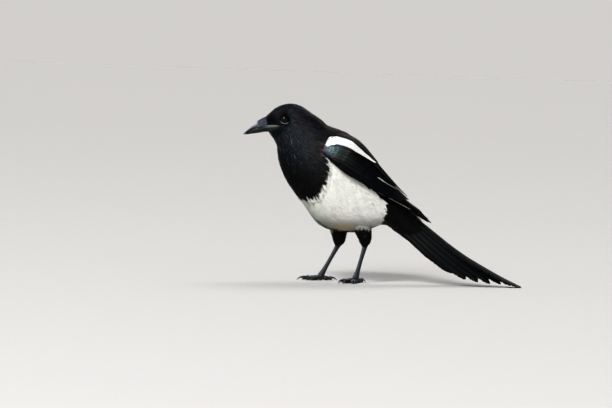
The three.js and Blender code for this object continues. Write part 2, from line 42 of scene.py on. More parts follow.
# Body: back's x and z, underside's x and z, half width, and how far down it is widest
BODY = [
    (-157, 207.3, -152, 190.8, 7.6, 0.52),
    (-151.5, 213.9, -149, 187.5, 11.6, 0.5),
    (-140.5, 222.9, -144.5, 181.8, 15.2, 0.47),
    (-126, 227.6, -140, 173.8, 17.6, 0.45),
    (-111, 225.3, -138.3, 163.3, 19.6, 0.45),
    (-97, 216.8, -136, 152.3, 22.5, 0.47),
    (-83, 207.9, -131.5, 140.3, 26, 0.5),
    (-73.5, 200.4, -124.5, 127.3, 30, 0.52),
    (-50, 192.3, -113.5, 112.3, 34, 0.54),
    (-32, 178.3, -99.5, 94.8, 36, 0.55),
    (-15, 158.8, -81, 73.3, 36.5, 0.55),
    (-1, 139.3, -54, 65.8, 35, 0.54),
    (11, 123.3, -24, 67.3, 31, 0.52),
    (24, 109.3, 1, 76.8, 25, 0.5),
    (37, 96.3, 17, 68.3, 19, 0.5),
    (50, 83.8, 34, 56.8, 13.5, 0.5),
    (66, 70.3, 52, 46.8, 7, 0.5),
]
BODY_FULLNESS = 0.93
# Nearer the middle than this are the crown and the throat, on neither side of the head
MIDDLE_HALF = 6

# Folded wing: upper edge's x and z, lower edge's x and z, and the half widths at those two edges
WING = [
    (-75, 178.3, -79.5, 169.8, 24, 30),
    (-60, 187.3, -69.5, 156.3, 19, 36),
    (-37, 179.3, -48.5, 141.3, 13.5, 39.5),
    (-14.8, 158.6, -20.5, 125.3, 9, 39.5),
    (5.7, 136.1, 8, 111, 6, 34),
    (28.5, 113, 28.5, 99.3, 5, 24),
    (49.5, 97.2, 46.5, 86.5, 4.2, 13),
    (66.5, 82.3, 62, 78.2, 3, 6.5),
]
WING_BULGE = 1.1

# Tail: the ridge of its feathers from inside the coverts to the ground, as x and z at equal steps
TAIL_RIDGE = [
    (22, 102), (43.8, 86), (65.5, 69.8), (87.1, 53.6),
    (109, 39), (132.2, 26), (156.6, 13.2), (182.4, 1.2),
]
TAIL_LENGTH = 189
TAIL_STEP = 0.03
TAIL_HALF_WIDTH = 18
TAIL_DEPTH = 27
TAIL_ROOT_SHARE = 0.85
TAIL_SPREAD = 1 / 3
TAIL_LAYER = 0.9
TAIL_CLEARANCE = 0.35
# How far the feathers of each layer bow down at their tips
TAIL_SAG = [0, 0, 4, 5, 5, 4, 0]
# Each step of the tail: its sides, degrees round the arc, length, half widths out and in, and layer
TAIL_FEATHERS = [
    ((-1,), 11, 189, 12, 10, 0),
    ((1,), 11, 189, 12, 10, 1),
    ((-1, 1), 28, 163, 5.5, 9.5, 2),
    ((-1, 1), 46, 150, 4.5, 10, 3),
    ((-1, 1), 62, 136, 4, 10, 4),
    ((-1, 1), 77, 121, 4, 10, 5),
    ((-1, 1), 92, 105, 4.5, 10, 6),
]

# Bill: upper edge's x and z, lower edge's x and z, and half width, and how far down each half is widest
UPPER_BILL = [
    (-147, 209.8, -146, 199.9, 7.2),
    (-156, 207.7, -156, 198.2, 6.3),
    (-165, 202.7, -165.5, 195.5, 4.9),
    (-173, 197.1, -173.5, 192.5, 3.2),
    (-179.5, 191.3, -179.5, 188.7, 1.7),
    (-183.2, 186.6, -182.8, 185.3, 0.8),
]
LOWER_BILL = [
    (-147, 200.5, -147.5, 190.9, 6.8),
    (-156, 198.8, -156, 190.2, 5.8),
    (-165.5, 196.1, -165.5, 188.3, 4.3),
    (-173.5, 192.9, -173, 187.2, 2.7),
    (-179.3, 189.1, -178.5, 186.1, 1.4),
    (-181, 187, -180.8, 185.7, 0.5),
]
UPPER_WIDEST = 0.8
LOWER_WIDEST = 0.25

EYE = (-130.6, 13, 207.3)
EYE_RADIUS = 6.3
EYE_CLEAR = 6.4
PUPIL = (2.5, 2.9)
LID_RING = 5.7
LID_TALL = 0.94
LID_THICK = 0.7
LID_OUT = 0.25
LID_BEADS = 30
LID_BEAD = 0.1
# The bare corner of the mouth behind the bill: x, and the z of its upper and lower edges
GAPE = [
    (-158.5, 198.2, 190.4),
    (-154, 198.6, 190.3),
    (-148, 199.6, 191),
    (-142.5, 199.8, 193),
    (-138, 199.1, 195.6),
    (-134.5, 197.7, 197),
]
GAPE_RISE = 1.9
# Ahead of the head, the corner's own half width at two places
GAPE_FRONT = [(-158.5, -151), (5.2, 0)]

# Legs: hip, calf, heel and foot as x, distance from the middle and z, and the foot's turn in degrees
LEGS = {
    "left": {
        "thigh": [(-33, 16, 89), (-23.2, 16.5, 63), (-21.6, 16, 48.6)],
        "foot": (-32.5, 15, 5.5),
        "turn": 48,
    },
    "right": {
        "thigh": [(-59, 15, 87), (-55.2, 14.5, 60), (-56, 13, 46.4)],
        "foot": (-77.3, 12, 5.5),
        "turn": -14,
    },
}
# Half widths, across and fore and aft, from hip to heel and from heel to foot
THIGH = [(9, 12), (9, 11.8), (8.6, 10.8), (7.5, 9.2), (5.9, 7.3), (3.8, 4.6)]
TARSUS = [(2.8, 3.6), (2.3, 3.1), (2, 2.7), (1.9, 2.6), (2, 2.7), (2.4, 3.2), (3, 4.3)]
TARSUS_TUCK = 4
TARSUS_SCUTES = 12
SCUTE = 0.45
HUB_RADIUS = 4.3
# Toes: name, heading in degrees, length, the claw's length, and joints
TOES = [
    ("hind", 184, 14, 10.5, 2), ("inner", -28, 17, 9.5, 2),
    ("middle", 0, 24, 10, 3), ("outer", 32, 18.5, 9, 3),
]
TOE_RADII = (3.0, 2.4)
TOE_BUMP = 0.4
TOE_PLATE = 2.1
CLAW_HEIGHT = 3.4
CLAW_DIPS = (-15, 60)
CLAW_RADII = (1.55, 0.2)
CLAW_TUCK = 1.2

# The white of the breast sides and belly, as x and z in side view
WHITE_BELLY = [
    (-73.5, 158), (-71.3, 144.9), (-74.9, 128.3), (-80.4, 119.9), (-84.2, 109.8), (-97.2, 104.5),
    (-105.5, 105.8), (-130, 108), (-130, 40), (-1.8, 40), (-1.8, 75.7), (3.2, 92), (5, 103.3),
    (-7, 113.5), (-17.5, 122.5), (-40, 150),
]
# The white shoulder patch, as x and z in side view, whose first points are its upper edge
WHITE_SHOULDER = [
    (-79, 175.5), (-77.8, 179), (-75, 186), (-70.1, 188.2), (-62.8, 188.7), (-50.7, 185.8), (-42.1, 182.4),
    (-35.9, 177.1), (-25.9, 168.4), (-18.5, 162.5), (-10, 155.6), (-13.5, 155.9), (-25.7, 163.4),
    (-35.6, 169.2), (-46.7, 175.6), (-60.1, 178.7), (-67.3, 177.4), (-72.2, 175.7), (-76.5, 172.6),
]
SHOULDER_EDGE = 11
MANTLE_END = -4
# Pale edges of the folded wing: x and z in side view from end to end, the height, and the colour at each end
WING_LINES = [
    ([(-9, 137.5), (0.3, 132), (8.2, 127.4), (16.1, 123.5), (25, 119.5)], 2.2,
     (0.95, 0.94, 0.9), (0.2, 0.16, 0.11)),
    ([(-8, 118.3), (0.9, 114.5), (9.8, 110), (21.9, 104), (32, 98.5)], -3.3,
     (0.55, 0.48, 0.34), (0.75, 0.7, 0.58)),
    ([(22, 108.5), (34, 101.5), (46, 93.5), (56, 87)], -2.6, (0.07, 0.055, 0.03), (0.035, 0.028, 0.015)),
]
LINE_HALF = (0.19, 0.16)
LINE_BARB = 4.0
LINE_BARBS = 40

# Colours of the small feathers
BLACK = (0.0036, 0.0037, 0.0042)
# Blue-black of the front of the head, lightened with a painted sheen
BLUE_BLACK_AND_SHEEN = (0.0092, 0.013, 0.0202)
BROWN_BLACK = (0.0075, 0.0062, 0.0055)
WHITE = (0.79, 0.785, 0.735)
PURE_WHITE = (0.93, 0.93, 0.92)
# Painted shade, grey, over the belly's lower front
SHADE_GREY = (0.5, 0.53, 0.47)
WARM = (0.5, 0.42, 0.24)
HACKLE = (0.17, 0.185, 0.2)
BRISTLES = [(0.01, 0.012, 0.016), (0.15, 0.18, 0.24)]
# Colours of the wing, from the bend back, and of the tail
# The bend's teal, green and violet are the feathers' iridescent hues, lightened into a painted sheen
TEAL = (0.135, 0.185, 0.205)
GREEN = (0.045, 0.062, 0.055)
VIOLET = (0.25, 0.16, 0.26)
NAVY = (0.002, 0.0038, 0.006)
SOOT = (0.0024, 0.0024, 0.0024)
OLIVE = (0.008, 0.0065, 0.003)
TAIL_SOOT = (0.0035, 0.004, 0.0042)
# A painted sheen of the tail, grey along each feather's shaft and edges
TAIL_PAINTED_SHEEN = (0.042, 0.046, 0.05)
# Colours of the bill, eye, lids and feet
SLATE = (0.016, 0.018, 0.021)
# A painted reflection of the sky, laid along the top of the upper bill
BILL_PAINTED_REFLECTION = (0.37, 0.38, 0.465)
BILL_PALE = (0.19, 0.21, 0.19)
BILL_MOSS = (0.03, 0.042, 0.037)
BILL_DARK = (0.006, 0.008, 0.009)
IRIS = (0.005, 0.0028, 0.002)
PUPIL_BLACK = (0.0008, 0.0008, 0.0008)
LID_DARK = (0.003, 0.003, 0.0035)
LID_PALE = (0.12, 0.145, 0.16)
GAPE_TONES = [(0.05, 0.06, 0.052), (0.15, 0.165, 0.145), (0.024, 0.032, 0.028), (0.012, 0.013, 0.013)]
# The feet's dark slate, and a painted highlight on the faces that turn forward toward the lamps
FOOT_TONES_AND_HIGHLIGHT = [(0.012, 0.0145, 0.018), (0.075, 0.095, 0.12)]
CLAW_TONE = (0.018, 0.018, 0.02)

# Other tones on the black of the side, some the feathers' own and some painted sheen and reflection:
# x and z, how far each reaches, and its colour
TONES_AND_PAINTED_SHEEN = [
    ((-120.5, 206.5), 2.2, (0.06, 0.075, 0.095)),
    ((-113, 213), 8, (0.017, 0.0145, 0.015)),
    ((-104, 200), 10, (0.014, 0.012, 0.016)),
    # A painted reflection of the sky on the forehead
    ((-143, 217), 8, (0.032, 0.034, 0.041)),
    # Painted sheen on the crown, in these two
    ((-128, 224), 9, (0.019, 0.021, 0.028)),
    ((-110, 223), 9, (0.018, 0.02, 0.027)),
    # Painted sheen on the cheek
    ((-134, 184), 9, (0.018, 0.023, 0.03)),
    ((-147, 206), 6, (0.0022, 0.0022, 0.0024)),
    ((-136, 192), 5, (0.003, 0.0032, 0.0036)),
    ((-130, 215.5), 4, (0.0025, 0.0026, 0.003)),
    ((-90, 208), 8, (0.003, 0.003, 0.0034)),
    ((-86, 172), 11, (0.0085, 0.007, 0.006)),
    ((-79.5, 166), 3.2, (0.1, 0.07, 0.05)),
    ((-81, 177), 3, (0.045, 0.032, 0.024)),
    ((-68, 193), 7, (0.016, 0.012, 0.009)),
    ((8.6, 76.5), 1.8, (0.035, 0.016, 0.01)),
]
# Where other tones begin and are full, along one axis each, with the painted shade of the belly's
# lower front and underside and the head's painted blue sheen
SHADE_GREY_X, SHADE_GREY_Z = (-50, -95), (118, 80)
UNDER_SHADE_Z = (92, 70)
WARM_FRONT, WARM_REAR, WARM_Z = (-74, -58), (-30, -48), (84, 70)
BLUE_X, BLUE_Z = (-70, -95), (140, 175)
# The black vent: its ends, the height of its edge and its half width
VENT_ENDS = (-68, -30)
VENT_Z = 70
VENT_HALF = 13
# A painted shadow on the near side of the belly, black feathers where shade falls by the far flank:
# where it starts, how it runs, its half width and reach
SHADOW_LINE = (-82, 78.5)
SHADOW_LINE_RUN = (16, -14)
SHADOW_LINE_HALF = 1.3
SHADOW_LINE_Y = (-24, 6)
# The throat's middle and reach, where the streaks are palest
THROAT = (-125, 176)
THROAT_REACH = (17, 24)

# Coat: length, half width, spacing, height of tip and strands a feather, from the face to the tail coverts
COAT_PLACES = [0, 0.06, 0.14, 0.25, 0.36, 0.5, 0.65, 0.8, 1]
COAT_UPPER = [
    (2.6, 0.26, 1.0, 0.3, 1),
    (3.4, 0.3, 1.15, 0.35, 1.4),
    (4.6, 0.36, 1.4, 0.45, 2),
    (6.5, 0.42, 1.8, 0.6, 2.4),
    (9, 0.5, 2.3, 0.7, 3),
    (12, 0.55, 2.7, 0.9, 4),
    (13, 0.6, 3, 0.9, 4),
    (14, 0.65, 3.2, 0.7, 4),
    (14, 0.65, 3.2, 0.5, 4),
]
COAT_UNDER = [
    (2.6, 0.24, 1.0, 0.4, 1),
    (3.8, 0.3, 1.3, 0.6, 2),
    (6, 0.34, 1.6, 0.9, 2.4),
    (9, 0.38, 2, 1, 3),
    (11, 0.45, 2.3, 1, 4),
    (14, 0.5, 2.6, 1.4, 5),
    (17, 0.5, 2.7, 2, 5),
    (17, 0.55, 2.9, 1.6, 5),
    (16, 0.6, 3, 1.2, 4),
]
# How deep the skin lies
COAT_DEPTH = [1.2, 1.6, 2, 2.4, 2.6, 2.4, 2, 2, 2.4]
COAT_END = 0.95
THIGH_DEPTH = 1.9
# The coat goes this far in under the wing's edge, and everywhere over the spine
UNDER_WING = 2.5
SPINE_HALF = 4
BANDS = {
    "head": (0, 0.3), "neck": (0.3, 0.42), "breast": (0.42, 0.56), "belly": (0.56, 0.68), "rump": (0.68, 1),
}
# How tufts look: the ridge's height, the root's painted shade, and how far the shading turns to the surface's
BLACK_TUFT = (0.4, 0.25, 0.5)
WHITE_TUFT = (0.2, 0.08, 0.8)
THIGH_TUFT = (0.2, 0.15, 0.7)
SHOULDER_TUFT = (0.2, 0.12, 0.8)
LINE_TUFT = (0.4, 0.1, 0.6)
BRISTLE_TUFT = (0.4, 0.35, 0.6)
# Shares of a tuft's length where it has points, and its width there
TUFT_SHARES = np.array([0, 0.34, 0.7, 1])
TUFT_WIDTHS = np.array([0.75, 1, 0.72])
TUFT_POINTS = [3, 3, 3, 1]
TUFT_LEAN = 0.8
# Where a tuft's points lie on its small patch of the map
TUFT_PATCH = np.array(
    [(0, 0), (0.5, 0.1), (1, 0), (0, 0.34), (0.5, 0.44), (1, 0.34), (0, 0.7), (0.5, 0.8), (1, 0.7), (0.5, 1)]
)
PATCH = 0.003
MAP_SPAN = 0.99

# Outlines of feathers, as shares of their length and half width
BLUNT_TIP = [(0, 0.5), (0.2, 0.9), (0.5, 1), (0.8, 1), (0.92, 0.85), (0.98, 0.55), (1, 0.15)]
ROUND_TIP = [(0, 0.35), (0.15, 0.7), (0.4, 0.96), (0.6, 1), (0.8, 0.94), (0.92, 0.7), (1, 0.16)]
TAIL_TIP = [(0, 0.75), (0.15, 1), (0.5, 1), (0.85, 1), (0.94, 0.8), (0.985, 0.5), (1, 0.12)]
LONG_TIP = [(0, 0.4), (0.12, 0.8), (0.3, 1), (0.6, 1), (0.8, 0.9), (0.93, 0.6), (1, 0.1)]
VANE_COLUMNS = np.array([-1, -0.72, -0.38, -0.07, 0, 0.07, 0.38, 0.72, 1])
VANE_THICK = 0.3
# The shaft's height at the root and how ragged the edges are, on the wing and on the tail
WING_VANE = (0.25, 0.06)
TAIL_VANE = (0.45, 0.17)
TAIL_ROWS = 100
# Wing tiers: count, root and tip of the first and of the last, half width, height, rows and outline
WING_TIERS = {
    "primaries": (9, (0.42, 0.55, 0.86, 0.25), (0.4, 0.93, 1.0, 0.5), 4.6, -1.4, 26, BLUNT_TIP),
    "secondaries": (10, (0.3, 0.22, 0.74, 0.24), (0.3, 0.84, 0.66, 0.86), 5.0, 0.7, 22, LONG_TIP),
    "tertials": (4, (0.28, 0.06, 0.72, 0.03), (0.28, 0.3, 0.62, 0.3), 5.6, 1.9, 22, ROUND_TIP),
    "primary_coverts": (5, (0.2, 0.84, 0.44, 0.8), (0.17, 0.95, 0.38, 0.95), 3.4, 1.6, 14, ROUND_TIP),
    "greater_coverts": (10, (0.14, 0.16, 0.44, 0.18), (0.12, 0.8, 0.38, 0.82), 4.4, 2.0, 16, ROUND_TIP),
    "median_coverts": (10, (0.09, 0.2, 0.29, 0.2), (0.08, 0.82, 0.25, 0.84), 4.2, 2.5, 12, ROUND_TIP),
}
PRIMARY_STEP = 0.35
# The scale-like feathers of the bend: rows from the last to the first, with root, tip and height
BEND_ROWS = [
    (0.085, 0.165, 2.9), (0.055, 0.13, 3.2), (0.03, 0.1, 3.5), (0.006, 0.07, 3.8), (-0.012, 0.04, 4.1),
]
BEND_COUNT = 12
BEND_HALF = 3.1
BEND_POINTS = 7
WING_SHINGLE = 0.15
WING_BED = (0.012, 0.56)

# Materials: roughness, specular, sheen, metallic and coat, and a slot's name for each
MATERIALS = {
    "black_small_feather": ((0.45, 0.17, 0, 0, 0), "black_plumage"),
    "white_small_feather": ((0.85, 0.2, 0.1, 0, 0), "white_plumage"),
    "flight_feather": ((0.42, 0.14, 0, 0.12, 0), "glossy_plumage"),
    "horn": ((0.36, 0.35, 0, 0, 0.1), "horn"),
    "scaly_skin": ((0.42, 0.5, 0, 0, 0), "scaly_skin"),
    "bare_skin": ((0.75, 0.12, 0, 0, 0), "scaly_skin"),
    "eye": ((0.03, 0.3, 0, 0, 0), "eye"),
}
# Specks in each metre, and how much they dim and brighten
SPECKS = 900
SPECK_RANGE = (0.75, 1.25)
# Bumps: their depth in millimetres, and for the barbs, the horn and the scales how strong they are
BUMP_DEPTH = 0.3
BARB_BUMP = 0.5
HORN_BUMP = 0.2
SCALE_BUMP = 0.5
# Grain and scales in each metre
HORN_GRAIN = 350
SCALES = 900

# Floor's colour and half size in metres, and what the camera sees behind it
FLOOR = (0.58, 0.57, 0.56, 1)
FLOOR_HALF = 40
BACKDROP = (0.485, 0.474, 0.4615, 1)
# The sky is bright near the horizon and dimmer from there up
SKY = {"From Min": 0.05, "From Max": 0.4, "To Min": 0.72, "To Max": 0.28}
SKY_COLOUR = (0.97, 0.98, 1, 1)
# Lamps: kind, place, size as a sun's spread in radians or an area's side in metres, power and colour
LAMPS = {
    "key": ("SUN", (-1.1, -2.0, 2.4), 0.22, 1.5, (1, 0.985, 0.96)),
    "back": ("SUN", (0.8, 1.6, 2.4), 0.5, 0.8, (1, 0.99, 0.97)),
    "window": ("AREA", (-2.2, -4.6, 3.0), 1.8, 100, (0.95, 0.97, 1)),
}
LAMP_AIM = (0, 0, 0.12)
# The camera's sensor width in millimetres and where its view starts in metres
SENSOR = 36
CLIP_START = 0.1
# Its place and aim in metres, how far the picture is turned in degrees, and the lens
CAMERA = {"place": (-0.0993, -4.0, 0.2969), "aim": (-0.0993, 0.0, 0.0988), "roll": 2.0, "lens": 182.35}

# Helpers for tables and outlines


def mix(a, b, share):
    return a + (b - a) * share


def blend(first, second, share):
    """Colours from the first to the second, one for each share."""
    return mix(np.asarray(first), np.asarray(second), np.asarray(share)[..., None])


def read(rows, place):
    """A smooth reading of a table at places from 0 to 1: one row of values for each place."""
    rows = np.asarray(rows, float)
    last = len(rows) - 1
    at = np.clip(place, 0, 1) * last
    i = np.minimum(at.astype(int), last - 1)
    f = (at - i)[..., None]
    a, b, d, e = (rows[np.clip(i + k, 0, last)] for k in (-1, 0, 1, 2))
    bend = 2 * a - 5 * b + 4 * d - e + f * (3 * b - a - 3 * d + e)
    return b + 0.5 * f * (d - a + f * bend)


def columns(rows):
    return np.moveaxis(rows, -1, 0)


def spaced(count):
    return np.linspace(0, 1, count)


def around(count):
    """Places once round, as shares of a turn, without the last, which is the first again."""
    return np.arange(count) / count


def grid(rows, across):
    return np.meshgrid(rows, across, indexing="ij")


def unit(vectors):
    return vectors / np.maximum(np.linalg.norm(vectors, axis=-1, keepdims=True), 1e-9)


def ramp(low, high, value):
    """From 0 at low to 1 at high, and smooth between."""
    t = np.clip((value - low) / (high - low), 0, 1)
    return t * t * (3 - 2 * t)


def inside(outline, x, z):
    """How far points lie inside a closed outline, in millimetres: below 0 outside it."""
    near = np.full(np.shape(x), np.inf)
    within = np.zeros(np.shape(x), bool)
    for (x1, z1), (x2, z2) in zip(outline, outline[1:] + outline[:1]):
        run = (x2 - x1) ** 2 + (z2 - z1) ** 2
        t = np.clip(((x - x1) * (x2 - x1) + (z - z1) * (z2 - z1)) / run, 0, 1)
        near = np.minimum(near, np.hypot(x - x1 - t * (x2 - x1), z - z1 - t * (z2 - z1)))
        if z1 != z2:
            crosses = ((z1 > z) != (z2 > z)) & (x < x1 + (z - z1) / (z2 - z1) * (x2 - x1))
            within ^= crosses
    return np.where(within, near, -near)


def ripple(points, size, turn=0.0):
    """A smooth uneven field over points, from about -1 to 1, with waves about that size in millimetres."""
    total = np.zeros(points.shape[:-1])
    for k in range(4):
        way = np.array([math.sin(2.4 * k + turn), math.cos(1.7 * k + 2 * turn), math.sin(3.1 * k + 1 + turn)])
        total += np.sin(points @ way * (2 * math.pi / size) * (1 + 0.31 * k) + 5 * k + turn)
    return total / 2.6


# Surfaces


class Surface:
    """A point for each (u, v), and the sign that makes the normal of its slopes face out."""

    step = 2e-3

    def __init__(self, point, out):
        self.point = point
        self.out = out

    def slopes(self, u, v):
        """Millimetres for each unit of u and of v, as vectors, and the normal."""
        step = self.step
        at = np.clip(u, step, 1 - step)
        along = (self.point(at + step, v) - self.point(at - step, v)) / (2 * step)
        across = (self.point(at, v + step) - self.point(at, v - step)) / (2 * step)
        return along, across, self.out * unit(np.cross(along, across))

    def lifted(self, u, v, height):
        return self.point(u, v) + self.slopes(u, v)[2] * np.asarray(height)[..., None]

    def steps(self, u, v, length, angle):
        """How far u and v go along a strand of that length, at that angle off the way of u."""
        along, across, _ = self.slopes(u, v)
        step_u = np.cos(angle) * length / np.linalg.norm(along, axis=-1)
        step_v = np.sin(angle) * length / np.linalg.norm(across, axis=-1)
        return step_u, step_v

    def reach(self, u, v, length, angle):
        """The (u, v) at the end of such a strand."""
        step_u, step_v = self.steps(u, v, length, angle)
        return np.clip(u + step_u, 0, 1), v + step_v


def oval(ends, out, widest, c):
    """Points of an egg-shaped ring, whose c runs from 1 at the top to -1, and how far down each is."""
    top_x, top_z, low_x, low_z = ends
    depth = np.where(c > 0, widest * (1 - c), widest - (1 - widest) * c)
    return np.stack([mix(top_x, low_x, depth), out, mix(top_z, low_z, depth)], -1), depth


def body_point(u, v):
    """u from the face to the tail coverts, and v once round from the back by the left side."""
    *ends, half, widest = columns(read(BODY, u))
    s = np.sin(2 * np.pi * v)
    return oval(ends, -half * np.sign(s) * np.abs(s) ** BODY_FULLNESS, widest, np.cos(2 * np.pi * v))[0]


BODY_SURFACE = Surface(body_point, -1)


def wing_surface(side):
    """u from the bend to the tip, and v from the upper to the lower edge."""

    def point(u, v):
        up_x, up_z, low_x, low_z, up_y, low_y = columns(read(WING, u))
        drop = 1 - np.cos(v * np.pi / 2)
        out = mix(up_y, low_y, np.sin(v * np.pi / 2))
        return np.stack([mix(up_x, low_x, drop), side * out, mix(up_z, low_z, drop)], -1)

    return Surface(point, side)


def wing_width(u):
    up_x, up_z, low_x, low_z, up_y, low_y = columns(read(WING, u))
    return WING_BULGE * np.sqrt((up_x - low_x) ** 2 + (up_z - low_z) ** 2 + (up_y - low_y) ** 2)


def wing_outline():
    """The folded wing's outline in side view."""
    rows = read(WING, np.linspace(0.02, 1, 24))
    return [tuple(row[:2]) for row in rows] + [tuple(row[2:4]) for row in rows[::-1]]


def thigh_surface(name, side):
    """u from the hip to the heel, and v once round."""
    thigh = LEGS[name]["thigh"]
    step = 0.02

    def point(u, v):
        ahead = unit(read(thigh, u + step) - read(thigh, u - step))
        wide = unit(np.array([0, 1, 0]) - ahead * ahead[..., 1:2])
        tall = np.cross(ahead, wide)
        radii = read(THIGH, u)
        c = np.cos(2 * np.pi * v)[..., None]
        s = np.sin(2 * np.pi * v)[..., None]
        put = read(thigh, u) + wide * radii[..., :1] * c + tall * radii[..., 1:] * s
        put[..., 1] *= side
        return put

    return Surface(point, -side)


def bristle_point(u, v):
    """Over the upper bill's base: u forward from the forehead, and v across from the left to the right."""
    top_x, top_z, low_x, low_z, half = columns(read(UPPER_BILL, np.clip(0.42 * u, 0, 1)))
    turn = (v - 0.5) * np.pi
    depth = 0.95 * (1 - np.cos(turn))
    out = (half + 0.7) * np.sin(turn)
    return np.stack([mix(top_x, low_x, depth), out, mix(top_z + 0.8, low_z, depth)], -1)


def tail_point(distance, turn, lift):
    """Distance from the root, turn round the arc from the ridge, and height above the ridge's layer."""
    place = distance / TAIL_LENGTH
    ridge = read(TAIL_RIDGE, place)
    run = read(TAIL_RIDGE, place + TAIL_STEP) - read(TAIL_RIDGE, place - TAIL_STEP)
    slope = np.arctan2(-run[..., 1], run[..., 0])
    share = mix(TAIL_ROOT_SHARE, 1, np.minimum(1, place / TAIL_SPREAD))
    down = TAIL_DEPTH * share - (TAIL_DEPTH * share + lift) * np.cos(turn)
    out = (TAIL_HALF_WIDTH * share + lift) * np.sin(turn)
    return np.stack([ridge[..., 0] - np.sin(slope) * down, out, ridge[..., 1] - np.cos(slope) * down], -1)


# Meshes


class Shape:
    """The points, triangles, colours, map places and soft normals of a piece while it is put together."""

    def __init__(self):
        self.parts = []
        self.count = 0

    def add(self, points, faces, colours=None, places=None, barbs=None, normals=None):
        blank = np.zeros((len(points), 3))
        colours = blank if colours is None else colours
        places = blank[:, :2] if places is None else places
        barbs = blank[:, :2] if barbs is None else barbs
        normals = blank if normals is None else normals
        self.parts.append((points, faces + self.count, colours, places, barbs, normals))
        self.count += len(points)

    def joined(self):
        return [np.concatenate(column) for column in zip(*self.parts)]


def flat(values):
    return values.astype(np.float32).ravel()


def build(name, shape, look, replaced=(), maps=("OFBake",)):
    """Makes one object of a shape, which rides on the body and stands for the named solids."""
    points, faces, colours, places, barbs, normals = shape.joined()
    mesh = bpy.data.meshes.new(name)
    mesh.vertices.add(len(points))
    mesh.vertices.foreach_set("co", flat((points + SHIFT) * MM))
    mesh.loops.add(faces.size)
    mesh.loops.foreach_set("vertex_index", faces.astype(np.int32).ravel())
    mesh.polygons.add(len(faces))
    mesh.polygons.foreach_set("loop_start", np.arange(0, faces.size, 3, dtype=np.int32))
    mesh.polygons.foreach_set("use_smooth", np.ones(len(faces), bool))
    mesh.update()
    if normals.any():
        mesh.normals_split_custom_set_from_vertices(normals.astype(np.float32))
    paint(mesh, colours)
    for map_name, values in (("OFBake", places), ("Barbs", barbs)):
        if map_name in maps:
            layer = mesh.uv_layers.new(name=map_name)
            layer.data.foreach_set("uv", flat(values[faces.ravel()]))
    material, slot = LOOKS[look]
    mesh.materials.append(material)
    piece = bpy.data.objects.new(name, mesh)
    bpy.context.scene.collection.objects.link(piece)
    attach(piece, "root")
    if replaced:
        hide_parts(*replaced)
    return piece


def paint(mesh, colours):
    """Writes one colour for each point, which every material of the bird reads."""
    layer = mesh.color_attributes.new(name="Tone", type="FLOAT_COLOR", domain="POINT")
    layer.data.foreach_set("color", flat(np.concatenate([colours, np.ones((len(colours), 1))], 1)))


def remesh(piece, voxel):
    """Fuses the shells of a piece into one smooth closed surface."""
    modifier = piece.modifiers.new("fuse", "REMESH")
    modifier.mode = "VOXEL"
    modifier.voxel_size = voxel * MM
    modifier.use_smooth_shade = True
    mesh = bpy.data.meshes.new_from_object(piece.evaluated_get(bpy.context.evaluated_depsgraph_get()))
    piece.modifiers.clear()
    old = piece.data
    piece.data = mesh
    bpy.data.meshes.remove(old)


def vertex_rows(piece, what):
    """The place, as "co", or the normal of each point of a piece."""
    rows = np.zeros(len(piece.data.vertices) * 3)
    piece.data.vertices.foreach_get(what, rows)
    return rows.reshape(-1, 3)


def quads(a, b, c, d):
    """Two triangles for each four corners."""
    return np.stack([a, b, c, a, c, d], -1).reshape(-1, 3)


def closed_tube(rings):
    """Points and triangles of a tube through rings of points, with closed ends."""
    count, sides = rings.shape[:2]
    points = np.concatenate([rings.reshape(-1, 3), [rings[0].mean(0)], [rings[-1].mean(0)]])
    i, j = grid(np.arange(count - 1), np.arange(sides))
    a = i * sides + j
    b = i * sides + (j + 1) % sides
    j = np.arange(sides)
    ahead = (j + 1) % sides
    top = (count - 1) * sides
    near = np.stack([ahead, j, np.full(sides, count * sides)], -1)
    far = np.stack([top + j, top + ahead, np.full(sides, count * sides + 1)], -1)
    faces = np.concatenate([quads(a, b, b + sides, a + sides), near, far])
    a, b, c = (points[faces[:, k]] for k in range(3))
    if np.sum(np.cross(b - a, c - a) * (a - points.mean(0))) < 0:
        faces = faces[:, ::-1]
    return points, faces


def sheet_faces(rows, wide, out):
    """Triangles of a closed sheet whose points go by row, column, then under and over."""

    def at(row, column, face):
        return (row * wide + column) * 2 + face

    def wall(row, column, next_row, next_column):
        first = at(row, column, 0), at(next_row, next_column, 0)
        return quads(*first, at(next_row, next_column, 1), at(row, column, 1))

    r = np.arange(rows - 1)
    c = np.arange(wide - 1)
    i, j = grid(r, c)
    last_row = 0 * c + rows - 1
    last_column = 0 * r + wide - 1
    faces = np.concatenate([
        quads(at(i, j, 1), at(i + 1, j, 1), at(i + 1, j + 1, 1), at(i, j + 1, 1)),
        quads(at(i, j, 0), at(i, j + 1, 0), at(i + 1, j + 1, 0), at(i + 1, j, 0)),
        wall(r, 0 * r, r + 1, 0 * r),
        wall(r + 1, last_column, r, last_column),
        wall(0 * c, c + 1, 0 * c, c),
        wall(last_row, c, last_row, c + 1),
    ])
    return faces if out > 0 else faces[:, ::-1]


def sheet(under, top):
    """Points of a closed sheet in that order."""
    return np.stack([under, top], 2).reshape(-1, 3)


def doubled(values, width):
    """Values for the under and over points of a sheet, from one row of that width for each pair."""
    return np.repeat(values.reshape(-1, width), 2, 0)


def path_tube(centres, radii, across, sides=36, relief=None):
    """Rings of a tube along centres, with radii across and square to it, and relief(row share, turn)."""
    ahead = unit(np.gradient(centres, axis=0))
    wide = unit(across - ahead * np.sum(across * ahead, -1, keepdims=True))
    tall = np.cross(ahead, wide)
    turn = around(sides) * 2 * np.pi
    extra = 0 if relief is None else relief(spaced(len(centres))[:, None], turn[None, :])
    c = (np.cos(turn) * (radii[:, :1] + extra))[..., None]
    s = (np.sin(turn) * (radii[:, 1:] + extra))[..., None]
    return centres[:, None] + wide[:, None] * c + tall[:, None] * s


